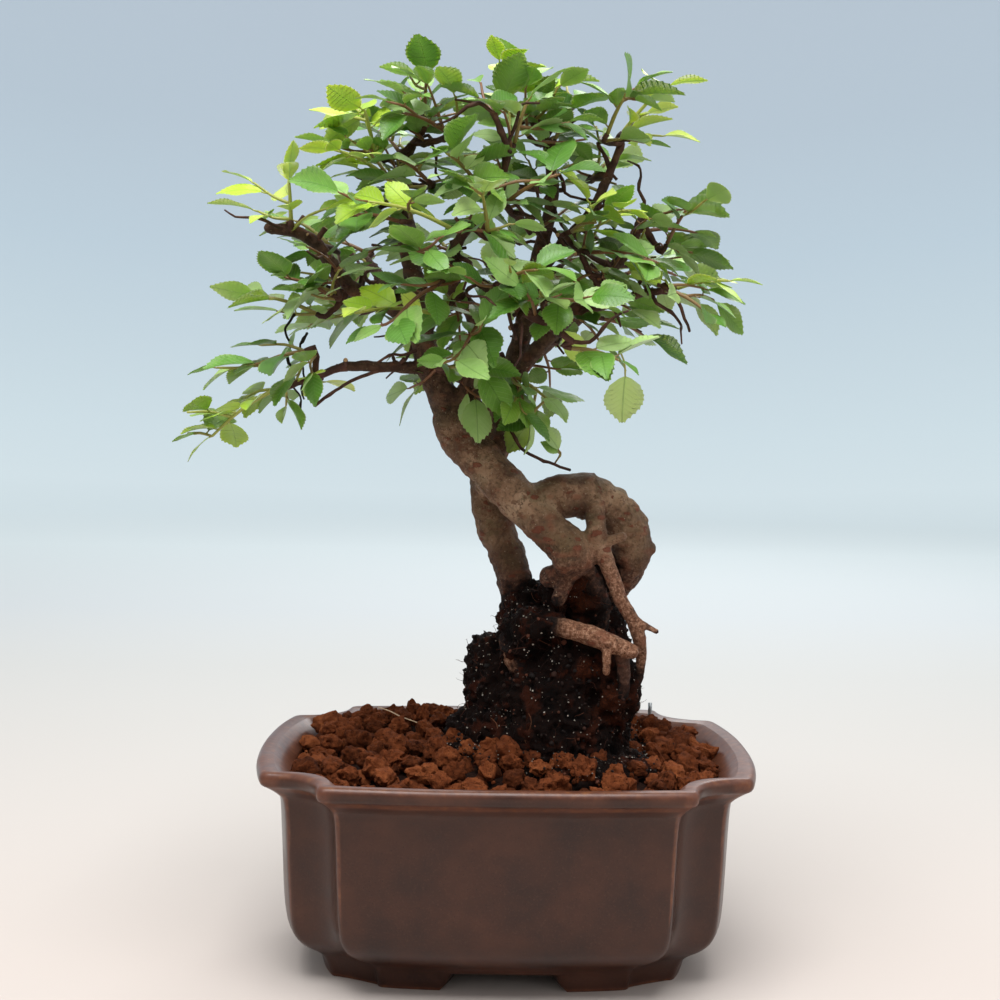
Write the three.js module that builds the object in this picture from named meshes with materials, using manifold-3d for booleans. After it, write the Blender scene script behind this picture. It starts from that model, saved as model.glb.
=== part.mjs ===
// A Chinese elm bonsai (Ulmus parvifolia) in its glazed pot, in millimetres, +Z up.
// The tree grows from a dark root ball that stands out of a bed of crushed clay granules.
// Its skeleton is a set of limbs drawn by hand.
// Each leafy shoot at the end of a twig is a node of its own.
import * as THREE from "three";
import { mergeVertices } from "three/addons/utils/BufferGeometryUtils.js";
import Module from "manifold-3d";

const wasm = await Module();
wasm.setup();

// Driving dimensions of the pot, measured from its centre line.
const POT_HEIGHT = 60;
const LIP_HALF_WIDTH = 69.5;
const LIP_HALF_DEPTH = 54.5;
const SIDE_LOBE_HALF = 37; // half length of a side's straight stretch at the lip
const FRONT_LOBE_HALF = 48.5; // the same for the front and back
const SIDE_BOW = 4.5; // how far a side bulges between its ends
const FRONT_BOW = 2.5;
const SIDE_LOBE_TAPER = 0.8; // how fast the stretches shorten as the outline shrinks
const FRONT_LOBE_TAPER = 0.68;
const CORNER_ROUND = 1.7; // radius at the end of a stretch
const FLOOR_Z = 9.5; // top of the pot's floor
const UNDERSIDE_Z = 5; // bottom of the pot's floor, which the feet hold up
const FOOT_RING_INSET = 28;
const FOOT_GAP_FRONT = 33; // width of the gap between two feet, front and back
const FOOT_GAP_SIDE = 26;
const FOOT_GAP_SLOPE = 2.5; // how far each end of a gap leans in
const DRAIN_X = 30; // the two drain holes
const DRAIN_RADIUS = 6;
const CLEARANCE = 0.4; // between any two pieces that touch
const HOLE_MARGIN = 0.9; // how much wider than its root a hole in the ball is
const HOLE_SIDES = 7;
const MERGE_WITHIN = 0.02; // facets that lie flatter than this together become one

// Bed of granules.
const BED_RIM_Z = 54;
const BED_RISE = 7;
const BED_BOTTOM_Z = 11.2;
const BACK_SLOPE = 0.05; // how steeply the bed rises behind the tree
const HEAPS = [
  { x: -28, y: 30, height: 4, spread: 22 },
  { x: -50, y: 20, height: 2.4, spread: 14 },
  { x: 46, y: 22, height: 4.5, spread: 13 },
];
const GRAIN_PITCH = 10;
const GRAIN_RELIEF = 1.9; // how far a grain's corners stand above and below the bed
const GRAIN_STRAY = 2.2;

// Foliage.
const LEAF_LENGTH = 14.5;
const LEAF_WIDTH = 8.4;
const LEAF_THICKNESS = 0.6;
const LEAF_FACING = 0.85; // how far leaves turn from straight up to straight out
const CANOPY_CENTRE = [-8, 2, 195];
const STEM_BACK = 6; // how far behind its foot a leafy stem begins
const STEM_RADIUS = 0.75;
const TWIG_RADIUS = 1.0;
const TWIG_NECK = 2.5; // the end of a twig, which points along its stem
const LONG_TWIG = 14; // a twig longer than this bends on its way
const SEED = 20260;

// Plain vector helpers.
const UP = [0, 0, 1];
const add = (a, b) => [a[0] + b[0], a[1] + b[1], a[2] + b[2]];
const sub = (a, b) => [a[0] - b[0], a[1] - b[1], a[2] - b[2]];
const mul = (a, k) => [a[0] * k, a[1] * k, a[2] * k];
const dot = (a, b) => a[0] * b[0] + a[1] * b[1] + a[2] * b[2];
const cross = (a, b) => [a[1] * b[2] - a[2] * b[1], a[2] * b[0] - a[0] * b[2], a[0] * b[1] - a[1] * b[0]];
const size = (a) => Math.sqrt(dot(a, a));
const unit = (a) => mul(a, 1 / Math.max(size(a), 1e-9));
const mix = (a, b, t) => add(mul(a, 1 - t), mul(b, t));

// Turns v about the unit axis k by an angle.
function turn(v, k, angle) {
  const c = Math.cos(angle);
  const s = Math.sin(angle);
  return add(add(mul(v, c), mul(cross(k, v), s)), mul(k, dot(k, v) * (1 - c)));
}

// A seeded run of numbers from 0 to 1.
function seeded(seed) {
  let state = seed >>> 0;
  return () => {
    state = (Math.imul(state, 1664525) + 1013904223) >>> 0;
    return state / 4294967296;
  };
}

// Meshes and solids.
function solidFrom(geometry) {
  const bare = geometry.clone();
  for (const name of Object.keys(bare.attributes)) {
    if (name !== "position") bare.deleteAttribute(name);
  }
  const merged = mergeVertices(bare, 1e-4);
  return new wasm.Manifold(
    new wasm.Mesh({
      numProp: 3,
      vertProperties: new Float32Array(merged.attributes.position.array),
      triVerts: new Uint32Array(merged.index.array),
    }),
  );
}

function geometryFrom(solid) {
  const mesh = solid.getMesh();
  const geometry = new THREE.BufferGeometry();
  geometry.setAttribute("position", new THREE.BufferAttribute(mesh.vertProperties, 3));
  geometry.setIndex(new THREE.BufferAttribute(mesh.triVerts, 1));
  return geometry;
}

function closedSurface(points, faces) {
  const geometry = new THREE.BufferGeometry();
  geometry.setAttribute("position", new THREE.BufferAttribute(new Float32Array(points.flat()), 3));
  geometry.setIndex(faces.flat());
  return geometry;
}

// A closed skin over rings of equal length, each ring anticlockwise seen from its end.
function skin(rings, startPoint, endPoint) {
  const count = rings[0].length;
  const points = [...rings.flat(), startPoint, endPoint];
  const faces = [];
  const start = points.length - 2;
  const end = points.length - 1;
  for (let r = 0; r + 1 < rings.length; r += 1) {
    for (let i = 0; i < count; i += 1) {
      const a = r * count + i;
      const b = r * count + ((i + 1) % count);
      faces.push([a, b, b + count], [a, b + count, a + count]);
    }
  }
  const last = (rings.length - 1) * count;
  for (let i = 0; i < count; i += 1) {
    const j = (i + 1) % count;
    faces.push([start, j, i], [end, last + i, last + j]);
  }
  return closedSurface(points, faces);
}

// A tapering tube through [x, y, z, radius] points, which bends at them.
function tube(path, sides, { grow = 0, dome = 0.6 } = {}) {
  const stations = path.map(([x, y, z, radius]) => ({ p: [x, y, z], radius: radius + grow }));
  const tangents = stations.map((s, i) =>
    unit(sub(stations[Math.min(i + 1, stations.length - 1)].p, stations[Math.max(i - 1, 0)].p)),
  );
  let side = unit(cross(tangents[0], Math.abs(tangents[0][2]) > 0.9 ? [1, 0, 0] : UP));
  const rings = stations.map(({ p, radius }, i) => {
    side = unit(sub(side, mul(tangents[i], dot(side, tangents[i]))));
    const other = cross(tangents[i], side);
    return Array.from({ length: sides }, (_, n) => {
      const angle = (2 * Math.PI * n) / sides;
      return add(p, add(mul(side, radius * Math.cos(angle)), mul(other, radius * Math.sin(angle))));
    });
  });
  const first = stations[0];
  const final = stations[stations.length - 1];
  const startPoint = sub(first.p, mul(tangents[0], first.radius * dome));
  const endPoint = add(final.p, mul(tangents[tangents.length - 1], final.radius * dome));
  return solidFrom(skin(rings, startPoint, endPoint));
}

function union(solids) {
  return solids.reduce((whole, next) => whole.add(next));
}

function withoutSlivers(solid) {
  return solid.asOriginal().simplify(MERGE_WITHIN);
}

// The pot's plan: four bowed stretches, and between each two a hollow corner that fades towards the feet.
function cornerCurves(sideInset, frontInset) {
  const a = LIP_HALF_WIDTH - sideInset;
  const b = LIP_HALF_DEPTH - frontInset;
  const sideEnd = SIDE_LOBE_HALF - SIDE_LOBE_TAPER * sideInset;
  const frontEnd = FRONT_LOBE_HALF - FRONT_LOBE_TAPER * frontInset;
  const sideX = a - SIDE_BOW;
  const frontY = b - FRONT_BOW;
  const depth = Math.max(0.15, Math.min(1, 1 - (sideInset - 9) / 9));
  const point = (x, y) => new THREE.Vector2(x, y);
  const bend = (p, q, r, divisions) => ({ curve: new THREE.QuadraticBezierCurve(p, q, r), divisions });
  const sideTurn = point(sideX + 0.6, sideEnd - CORNER_ROUND);
  const sideOut = point(sideX - CORNER_ROUND, sideEnd + 0.3);
  const frontIn = point(frontEnd + 0.4, frontY - CORNER_ROUND);
  const frontTurn = point(frontEnd - CORNER_ROUND, frontY + 0.3);
  const middle = point((sideOut.x + frontIn.x) / 2, (sideOut.y + frontIn.y) / 2);
  const notch = middle.lerp(point(frontEnd + 1.5, sideEnd + 1.5), depth);
  return [
    bend(point(a, 0), point(a, sideEnd * 0.55), sideTurn, 2),
    bend(sideTurn, point(sideX, sideEnd + 0.2), sideOut, 1),
    bend(sideOut, notch, frontIn, 3),
    bend(frontIn, point(frontEnd + 0.2, frontY), frontTurn, 1),
    bend(frontTurn, point(frontEnd * 0.55, b), point(0, b), 2),
  ];
}

function outline(sideInset, frontInset, z) {
  const quarter = [];
  for (const { curve, divisions } of cornerCurves(sideInset, frontInset)) {
    for (let i = 0; i < divisions; i += 1) {
      const p = curve.getPoint(i / divisions);
      quarter.push([p.x, p.y]);
    }
  }
  const back = [[0, LIP_HALF_DEPTH - frontInset], ...quarter.slice(1).reverse().map(([x, y]) => [-x, y])];
  const half = [...quarter, ...back];
  return [...half, ...half.map(([x, y]) => [-x, -y])].map(([x, y]) => [x, y, z]);
}

// A closed solid through levels of [z, side inset, front inset].
function loft(levels) {
  const rings = levels.map(([z, sideInset, frontInset]) => outline(sideInset, frontInset, z));
  return solidFrom(skin(rings, [0, 0, levels[0][0]], [0, 0, levels[levels.length - 1][0]]));
}

function box(width, depth, low, high, x = 0, y = 0) {
  const geometry = new THREE.BoxGeometry(width, depth, high - low);
  return solidFrom(geometry.translate(x, y, (low + high) / 2));
}

// The space between two feet, whose ends lean together upwards.
function wedge(width, depth, slopeX, slopeY) {
  const ring = (lean, z) => {
    const x = width / 2 - slopeX * lean;
    const y = depth / 2 - slopeY * lean;
    return [[-x, -y, z], [x, -y, z], [x, y, z], [-x, y, z]];
  };
  const rings = [ring(-0.2, -1), ring(1, UNDERSIDE_Z)];
  return solidFrom(skin(rings, [0, 0, -1], [0, 0, UNDERSIDE_Z]));
}

function upright(radius, low, high, x, y, sides = 10) {
  const geometry = new THREE.CylinderGeometry(radius, radius, high - low, sides);
  return solidFrom(geometry.rotateX(Math.PI / 2).translate(x, y, (low + high) / 2));
}

const POT_OUTSIDE = [
  [0, 18.2, 22],
  [5, 16.9, 21.2],
  [7.6, 14.7, 19],
  [9.8, 11.4, 14.6],
  [13.5, 8.6, 9.8],
  [19, 7.6, 7.8],
  [51.5, 6.3, 6.3],
  [55.2, 2, 2],
  [57.4, 0, 0],
  [POT_HEIGHT, 0.7, 0.7],
];
const POT_INSIDE = [
  [FLOOR_Z, 18.5, 22.5],
  [16, 13.2, 14.2],
  [55.5, 9.6, 9.6],
  [POT_HEIGHT + 0.01, 4.5, 4.5],
];
function makePot() {
  const recess = loft([
    [-1, FOOT_RING_INSET, FOOT_RING_INSET],
    [UNDERSIDE_Z, FOOT_RING_INSET, FOOT_RING_INSET],
  ]);
  const gaps = union([
    wedge(FOOT_GAP_FRONT, 2 * LIP_HALF_DEPTH, FOOT_GAP_SLOPE, 0),
    wedge(2 * LIP_HALF_WIDTH, FOOT_GAP_SIDE, 0, FOOT_GAP_SLOPE),
  ]);
  const drains = union([-1, 1].map((side) => upright(DRAIN_RADIUS, 0, 20, side * DRAIN_X, 0)));
  return loft(POT_OUTSIDE).subtract(loft(POT_INSIDE)).subtract(recess).subtract(gaps).subtract(drains);
}

// A square of plastic netting over a drain hole, set so that the tie wire passes through one of its openings.
const NET_SIDE = 19;
const NET_HOLE = 7;
const NET_THICKNESS = 0.8;
function makeNet(x) {
  const low = FLOOR_Z + CLEARANCE;
  const step = NET_SIDE / 4 - 0.25;
  const middle = x + step;
  const cell = (dx, dy) => box(NET_HOLE, NET_HOLE, 0, 20, middle + dx, step + dy);
  const holes = [-step, step].flatMap((dx) => [-step, step].map((dy) => cell(dx, dy)));
  return box(NET_SIDE, NET_SIDE, low, low + NET_THICKNESS, middle, step).subtract(union(holes));
}

// The wire that ties the tree down: under the floor, up through both drain holes, one end showing behind.
const WIRE_RADIUS = 0.6;
const WIRE_LOW = 3.6;
const WIRE_PATH = [
  [-DRAIN_X, 0, 34],
  [-DRAIN_X, 0, WIRE_LOW],
  [DRAIN_X, 0, WIRE_LOW],
  [DRAIN_X, 0, 16],
  [44, 28, 24],
  [44.5, 30, 66.5],
];
function makeWire(grow = 0) {
  const path = WIRE_PATH.map((p) => [...p, WIRE_RADIUS]);
  return tube(path, 6, { grow, dome: 0.5 });
}

// The root ball: crumbling lumps of peat, [x, y, z, rx, ry, rz].
const BALL_LUMPS = [
  [13, 4, 62, 23, 23, 31],
  [13, 5, 40, 25, 24, 26],
  [5.5, 6, 95, 8, 9, 11],
  [15, 7, 97, 10, 8, 11.5],
  [4, -3, 92, 6.5, 10, 9],
  [27, 7, 87, 9, 10, 14],
  [-3, 4, 78, 9, 10, 14],
  [19, -6, 83, 13, 9, 12],
  [-5, 2, 62, 12, 12, 10],
];
const BALL_BOTTOM_Z = 16;
const CRUMBLE = 0.9;
function crumble(x, y, z) {
  return Math.sin(x * 0.61 + z * 0.37) + Math.sin(y * 0.73 - z * 0.52) + Math.sin(z * 0.81 + x * 0.33);
}
function makeBall(grow = 0) {
  const lumps = BALL_LUMPS.map(([cx, cy, cz, rx, ry, rz], i) => {
    const geometry = new THREE.IcosahedronGeometry(1, i === 0 ? 2 : 1);
    const place = geometry.attributes.position;
    for (let n = 0; n < place.count; n += 1) {
      const d = [place.getX(n), place.getY(n), place.getZ(n)];
      const swell = crumble(cx + d[0] * rx, cy + d[1] * ry, cz + d[2] * rz) * CRUMBLE + grow;
      place.setXYZ(n, cx + d[0] * (rx + swell), cy + d[1] * (ry + swell), cz + d[2] * (rz + swell));
    }
    return solidFrom(geometry);
  });
  return union(lumps).subtract(box(200, 200, -50, BALL_BOTTOM_Z - grow));
}

// Height of the bed's surface, which is heaped towards the tree and behind it.
function bedHeight(x, y) {
  const share = Math.min(1, Math.hypot(x / 60, y / 45));
  const front = BED_RIM_Z + BED_RISE * (1 - share ** 2.2);
  const rises = HEAPS.map((heap) => {
    const away = Math.hypot(x - heap.x, y - heap.y) / heap.spread;
    return heap.height * Math.exp(-away * away);
  });
  return front + BACK_SLOPE * Math.max(0, y) + rises.reduce((sum, rise) => sum + rise, 0);
}

// The bed's top: a honeycomb of angular grains, each a tilted three-cornered face on six low corners.
function makeRubble() {
  const random = seeded(SEED);
  const points = [];
  const faces = [];
  const lows = new Map();
  const side = GRAIN_PITCH / Math.sqrt(3);
  const lowPoint = (x, y) => {
    const key = `${Math.round(x * 10)},${Math.round(y * 10)}`;
    if (!lows.has(key)) {
      const px = x + GRAIN_STRAY * (random() - 0.5);
      const py = y + GRAIN_STRAY * (random() - 0.5);
      lows.set(key, points.push([px, py, bedHeight(x, y) - GRAIN_RELIEF * (0.7 + 0.6 * random())]) - 1);
    }
    return lows.get(key);
  };
  for (let row = -8; row <= 8; row += 1) {
    for (let column = -9; column <= 9; column += 1) {
      const x = (column + (row % 2 ? 0.5 : 0)) * GRAIN_PITCH;
      const y = row * side * 1.5;
      const corner = (k, r) => [x + r * Math.sin((k * Math.PI) / 3), y + r * Math.cos((k * Math.PI) / 3)];
      const low = [0, 1, 2, 3, 4, 5].map((k) => lowPoint(...corner(-k, side)));
      const twist = random() - 0.5;
      const top = [0, 2, 4].map((k) => {
        const [px, py] = corner(-k + twist, side * (0.5 + 0.3 * random()));
        return points.push([px, py, bedHeight(x, y) + GRAIN_RELIEF * (0.2 + 0.8 * random())]) - 1;
      });
      faces.push(top);
      for (const k of [0, 1, 2]) {
        const [here, next] = [top[k], top[(k + 1) % 3]];
        const [a, b, c] = [low[2 * k], low[2 * k + 1], low[(2 * k + 2) % 6]];
        faces.push([here, a, b], [here, b, next], [next, b, c]);
      }
    }
  }
  const edges = new Map();
  faces.forEach(([a, b, c]) => [[a, b], [b, c], [c, a]].forEach(([p, q]) => edges.set(`${p},${q}`, [p, q])));
  const open = [...edges.values()].filter(([p, q]) => !edges.has(`${q},${p}`));
  const floor = new Map(open.map(([p]) => [p, points.push([points[p][0], points[p][1], 0]) - 1]));
  const centre = points.push([0, 0, 0]) - 1;
  for (const [p, q] of open) {
    faces.push([q, p, floor.get(p)], [q, floor.get(p), floor.get(q)], [floor.get(q), floor.get(p), centre]);
  }
  return solidFrom(closedSurface(points, faces));
}

const BED_FILL = [
  [BED_BOTTOM_Z, 19, 23],
  [17.5, 14.2, 15.2],
  [BED_RIM_Z, 10.3, 10.3],
  [BED_RIM_Z + 20, 10.3, 10.3],
];
function makeBed() {
  return loft(BED_FILL).intersect(makeRubble()).subtract(makeBall(CLEARANCE)).subtract(makeWire(CLEARANCE));
}

// The tree's skeleton: [x, y, z, radius] from the thick end to the thin one.
const ROOTS = {
  leaning_trunk: [
    [20, -9, 112, 4.4], [18, -10, 116, 5.7], [12, -9, 121.5, 5.6], [7, -7, 126, 5.4],
    [1, -5, 132, 5.8], [-7, -3, 140, 5.9], [-14, -1, 148, 6.3], [-16.5, 0, 155, 5.9],
  ],
  rear_trunk: [
    [5, 7, 86, 3.6], [3.4, 8, 98, 4.6], [2.2, 8, 106, 4.8], [-0.6, 9, 114, 5.0], [-3.5, 10, 121, 5.2],
    [-6.3, 10, 131, 4.7], [-6, 10, 140, 4.7], [-4, 9.5, 149, 4.7], [-4, 9.5, 156, 4.2],
  ],
  looping_root: [
    [5, -5, 129, 4.4], [11, -3, 131, 5.6], [16, -2, 131.5, 6.1], [21, 0, 131.5, 6.5], [27, 2, 129, 6.4],
    [32, 3, 124.5, 6.3], [34.6, 4, 119, 6.2], [34.9, 5, 114.3, 5.7], [33.6, 6, 109.5, 5.0], [30.8, 8, 104, 4.2],
    [28, 9.5, 97, 3.4], [26, 10, 89, 2.7],
  ],
  hanging_root: [
    [24, -3, 131, 2.8], [24, -8, 125, 2.8], [25, -10, 119, 2.6], [27, -12, 114, 2.4], [29, -13, 109, 2.2],
    [31, -14, 104, 1.9], [34, -14, 99, 1.7], [36, -14, 94, 1.8], [37, -12, 88, 1.4], [36.5, -10, 80, 1.0],
    [32, -6, 72, 0.9],
  ],
  resting_root: [
    [3, 5, 92, 2.4], [4, -6, 95, 2.3], [10, -11, 96.5, 2.5], [15, -14, 96, 2.6], [20, -15.5, 95, 2.7],
    [25, -16.5, 93.5, 2.7], [29, -17, 92, 2.3], [32, -18, 91, 2.1], [35, -18, 90, 1.8],
  ],
  crown_root: [[17, -7, 113, 3.6], [15, -4, 109, 3.4], [14, -2, 102, 3.0], [12, 1, 93, 2.6], [4, 6, 88, 2.6]],
  inner_root: [[20, -6, 112, 3.2], [24.3, -3, 106, 3.6], [26, 0, 98, 3.3], [25, 2, 88, 2.4]],
  drop_root: [[27, -17, 92, 1.2], [27, -18.3, 88, 1.1], [27, -18.3, 84, 0.9]],
  down_root: [[31, -16.5, 90, 1.8], [32, -15.5, 84, 1.7], [32, -14, 78, 1.6], [28, -10, 70, 1.4]],
  root_stub: [[25, -10, 119, 1.5], [29.5, -12.6, 120.8, 1.3], [31.8, -13.4, 121.6, 1.1]],
  root_spur: [[34, -14, 99, 1.0], [38, -15, 97, 0.8], [41, -16, 95.5, 0.6]],
  bark_knob: [[36, 4, 117, 3.2], [40.5, 3, 116.5, 1.8]],
};

const LIMBS = {
  left_leader: [
    [-16, 0, 153, 4.6], [-20, -1, 161, 4.2], [-23, -2, 168, 3.7], [-26, 0, 179, 3.1], [-28, 3, 192, 2.6],
    [-31, 5, 206, 2.1], [-33, 6, 219, 1.7], [-29, 6, 230, 1.2],
  ],
  left_limb: [
    [-26, 0, 179, 2.4], [-36, -2, 185, 2.2], [-45, -3, 189, 2.0], [-51, -4, 196, 1.8], [-55, -5, 201, 1.7],
    [-61, -6, 204, 1.6], [-67, -6, 204.5, 1.5],
  ],
  front_fork: [
    [-15, -1, 151, 4.2], [-11, -3, 162, 3.3], [-10, -5, 172, 2.7], [-11, -8, 182, 2.3], [-16, -12, 188, 2.0],
    [-16, -18, 193, 1.7], [-16, -25, 198, 1.4], [-12, -30, 204, 1.1],
  ],
  front_right: [
    [-16, -18, 193, 1.5], [-10, -24, 190, 1.4], [-4, -28, 186, 1.3], [2, -31, 182, 1.2], [9, -34, 178, 1.1],
    [15, -36, 174, 0.9],
  ],
  centre_leader: [
    [-3, 10, 154, 3.2], [0, 10, 166, 2.9], [4, 10, 181, 2.6], [6, 10, 193, 2.3], [9, 10, 206, 2.0],
    [11, 9, 218, 1.7], [9, 8, 231, 1.3], [5, 6, 240, 1.0],
  ],
  right_limb: [
    [-2, 9, 158, 2.4], [2, 6, 166, 2.2], [9, 3, 175, 2.1], [17, 2, 183, 1.9], [23, 2, 190, 1.8],
    [28, 2, 196, 1.6], [33, 3, 202, 1.5], [36, 4, 210, 1.2],
  ],
  right_low: [[17, 2, 183, 1.4], [28, -2, 186, 1.2], [38, -5, 189, 1.1], [44, -7, 189, 0.9]],
  upper_right: [
    [6, 10, 193, 1.9], [14, 9, 203, 1.6], [22, 7, 212, 1.4], [27, 5, 223, 1.2], [30, 3, 231, 1.0],
  ],
  low_left: [
    [-23, -2, 167, 1.9], [-32, -6, 167, 1.4], [-46, -9, 167, 1.2], [-54, -11, 164, 1.0], [-62, -12, 161, 0.9],
  ],
  back_left: [[-26, 0, 179, 2.2], [-32, 12, 186, 1.9], [-38, 24, 193, 1.6], [-44, 34, 200, 1.2]],
  back_centre: [[4, 10, 181, 2.2], [3, 22, 188, 1.9], [1, 34, 196, 1.5], [-1, 44, 203, 1.1]],
  back_right: [[0, 10, 166, 2.2], [12, 18, 176, 1.9], [24, 28, 186, 1.5], [33, 35, 194, 1.1]],
  back_low: [[-3, 10, 156, 1.9], [-8, 20, 164, 1.5], [-14, 30, 168, 1.1]],
  bare_left: [[-32, -6, 167, 0.8], [-40, -9, 165, 0.8], [-46, -10, 162, 0.7], [-54, -12, 156, 0.7]],
  bare_right: [
    [-4, 9, 155, 0.9], [0, 2, 150, 0.8], [3, 0, 145, 0.7], [7, -1, 142.5, 0.7], [17, -2, 139, 0.6],
  ],
  cut_stub: [[-4, -16, 212, 1.0], [-3, -24, 225, 0.9], [-6, -28, 233, 0.8]],
  cut_feeder: [[9, 10, 206, 1.3], [2, -4, 208, 1.1], [-4, -16, 212, 1.0]],
};

// Leafy shoots: the limb and joint that the twig leaves from, the shoot's foot, its last leaf's tip, its age,
// and its leaves from the foot up, each by the swing it takes, with a dot where none stands.
const SHOOTS = [
  ["centre_leader", 7, [-2, -1, 243], [-8, -6, 261], "young", "01000"],
  ["left_leader", 7, [-40, -8, 231], [-43, -16, 244], "young", "0000"],
  ["left_leader", 6, [-42, -14, 222], [-57, -22, 228], "young", "00503"],
  ["left_limb", 5, [-61.5, -9, 212.5], [-62, -11, 225], "young", "0102"],
  ["front_fork", 7, [-22, -36, 204], [-48, -44, 211], "young", "0.40100"],
  ["left_leader", 7, [-24, -18, 232], [-38, -30, 236], "mature", "0046."],
  ["centre_leader", 7, [4, 2, 243], [2, 0, 257], "mature", "6741"],
  ["centre_leader", 6, [14, 6, 237], [22, 8, 252], "mature", "0800."],
  ["upper_right", 4, [34, 2, 238], [49, -2, 254], "young", "000022"],
  ["right_limb", 7, [46, 2, 208], [54, 0, 222], "mature", "5004"],
  ["right_limb", 6, [43, 8, 207], [64, 10, 207], "mature", "84.0."],
  ["right_low", 3, [51, -6, 191], [70, -8, 194], "young", "02103"],
  ["right_low", 3, [48, -13, 186], [60, -18, 178], "mature", "140."],
  ["right_low", 1, [26, -16, 198], [49, -26, 194], "mature", "03500."],
  ["front_right", 5, [20, -38, 171], [36, -46, 167], "mature", "0003."],
  ["front_right", 4, [15, -33, 184], [34, -42, 181], "mature", "0103."],
  ["right_limb", 1, [5, -6, 162], [17, -12, 154], "mature", "200."],
  ["front_fork", 1, [-14, -12, 167], [-1, -22, 167], "mature", "4004"],
  ["low_left", 4, [-69, -15, 157], [-89, -22, 141], "young", "0023172"],
  ["low_left", 3, [-62, -16, 169], [-80, -19, 163], "mature", "1001."],
  ["left_limb", 2, [-60, -7, 183], [-82, -9, 189], "mature", "000027"],
  ["front_fork", 4, [-26, -27, 181], [-50, -43, 180], "young", "000101."],
  ["left_limb", 3, [-55, -14, 188], [-71, -22, 194], "mature", "5141."],
  ["left_limb", 4, [-56, 5, 204], [-70, 9, 214], "mature", "00000"],
  ["front_fork", 6, [-20, -36, 194], [-32, -48, 199], "mature", "1015."],
  ["front_fork", 7, [-8, -37, 206], [-10, -49, 217], "mature", "0041"],
  ["front_right", 2, [0, -38, 190], [12, -52, 194], "mature", "00003"],
  ["front_fork", 5, [-24, -34, 185], [-38, -48, 172], "mature", "97.0.0"],
  ["cut_feeder", 2, [2, -26, 213], [20, -36, 222], "mature", "50032"],
  ["right_limb", 5, [20, -16, 206], [38, -30, 212], "young", "00002."],
  ["cut_stub", 1, [1, -22, 232], [5, -26, 245], "mature", "0000"],
  ["left_leader", 6, [-27, -20, 219], [-36, -33, 224], "mature", "10.0"],
  ["left_leader", 5, [-36, -22, 206], [-53, -32, 207], "mature", "04621"],
  ["front_fork", 3, [-10, -25, 177], [-18, -36, 165], "mature", "2001."],
  ["left_leader", 7, [-36, 15, 232], [-44, 26, 241], "mature", "0100"],
  ["back_left", 3, [-50, 38, 204], [-66, 42, 209], "mature", "00006"],
  ["back_left", 2, [-48, 27, 187], [-64, 33, 180], "mature", "10003"],
  ["back_centre", 3, [-3, 49, 208], [-7, 61, 216], "mature", "401."],
  ["back_centre", 2, [6, 42, 190], [10, 56, 183], "mature", "000."],
  ["back_right", 3, [40, 39, 199], [54, 47, 205], "mature", "30005"],
  ["back_right", 2, [33, 30, 181], [50, 36, 175], "mature", "01213"],
  ["centre_leader", 6, [7, 20, 237], [6, 33, 247], "mature", "0202"],
  ["centre_leader", 5, [-6, 25, 224], [-20, 38, 232], "mature", "0132."],
  ["upper_right", 3, [26, 20, 226], [36, 32, 235], "mature", "00234"],
  ["back_low", 2, [-19, 36, 170], [-32, 46, 165], "mature", "01215"],
  ["back_centre", 1, [18, 34, 201], [28, 48, 209], "mature", "0000."],
  ["back_left", 1, [-22, 30, 205], [-31, 47, 213], "mature", "00005"],
  ["right_limb", 4, [40, 20, 197], [60, 26, 194], "mature", "03.5."],
  ["left_limb", 1, [-50, 14, 181], [-70, 19, 176], "mature", "3000."],
  ["centre_leader", 6, [0, -8, 234], [-13, -22, 244], "mature", "0305."],
  ["left_leader", 7, [-25, -6, 240], [-24, -16, 253], "mature", "4.46"],
  ["upper_right", 4, [27, -8, 236], [32, -20, 247], "mature", "0.014"],
  ["cut_feeder", 2, [-14, -25, 219], [-24, -36, 227], "mature", "2385."],
];

// A shoot's stem runs from a little behind its foot to where its last leaf begins.
function shootEnds([, , foot, tip, age]) {
  const along = unit(sub(tip, foot));
  const lastLeaf = Math.min(LEAF_LENGTH * (age === "young" ? 0.75 : 0.85), 0.6 * size(sub(tip, foot)));
  return { along, start: sub(foot, mul(along, STEM_BACK)), end: sub(tip, mul(along, lastLeaf)) };
}

function twigPath(shoot) {
  const [limb, joint] = shoot;
  const from = LIMBS[limb][joint];
  const begin = from.slice(0, 3);
  const { along, start } = shootEnds(shoot);
  const neck = sub(start, mul(along, TWIG_NECK));
  const reach = size(sub(neck, begin));
  const knee = add(mix(begin, neck, 0.55), mul(along, -0.08 * reach));
  const radius = Math.min(from[3], TWIG_RADIUS);
  const bend = reach > LONG_TWIG ? [[...knee, radius * 0.95]] : [];
  return [[...begin, radius], ...bend, [...neck, STEM_RADIUS * 1.05], [...start, STEM_RADIUS]];
}

function stemPath(shoot) {
  const { along, start, end } = shootEnds(shoot);
  const first = add(start, mul(along, CLEARANCE));
  const lift = mul(UP, 0.05 * size(sub(end, start)));
  return [
    [...first, STEM_RADIUS],
    [...add(mix(first, end, 0.34), lift), STEM_RADIUS * 0.9],
    [...add(mix(first, end, 0.68), lift), STEM_RADIUS * 0.75],
    [...end, STEM_RADIUS * 0.6],
  ];
}

function pointOn(path, share) {
  const at = Math.min(share, 0.9999) * (path.length - 1);
  const k = Math.floor(at);
  const there = mix(path[k].slice(0, 3), path[k + 1].slice(0, 3), at - k);
  const before = unit(sub(path[k + 1].slice(0, 3), path[Math.max(k - 1, 0)].slice(0, 3)));
  const after = unit(sub(path[Math.min(k + 2, path.length - 1)].slice(0, 3), path[k].slice(0, 3)));
  const radius = path[k][3] + (path[k + 1][3] - path[k][3]) * (at - k);
  return { point: there, along: unit(mix(before, after, at - k)), radius };
}

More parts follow.
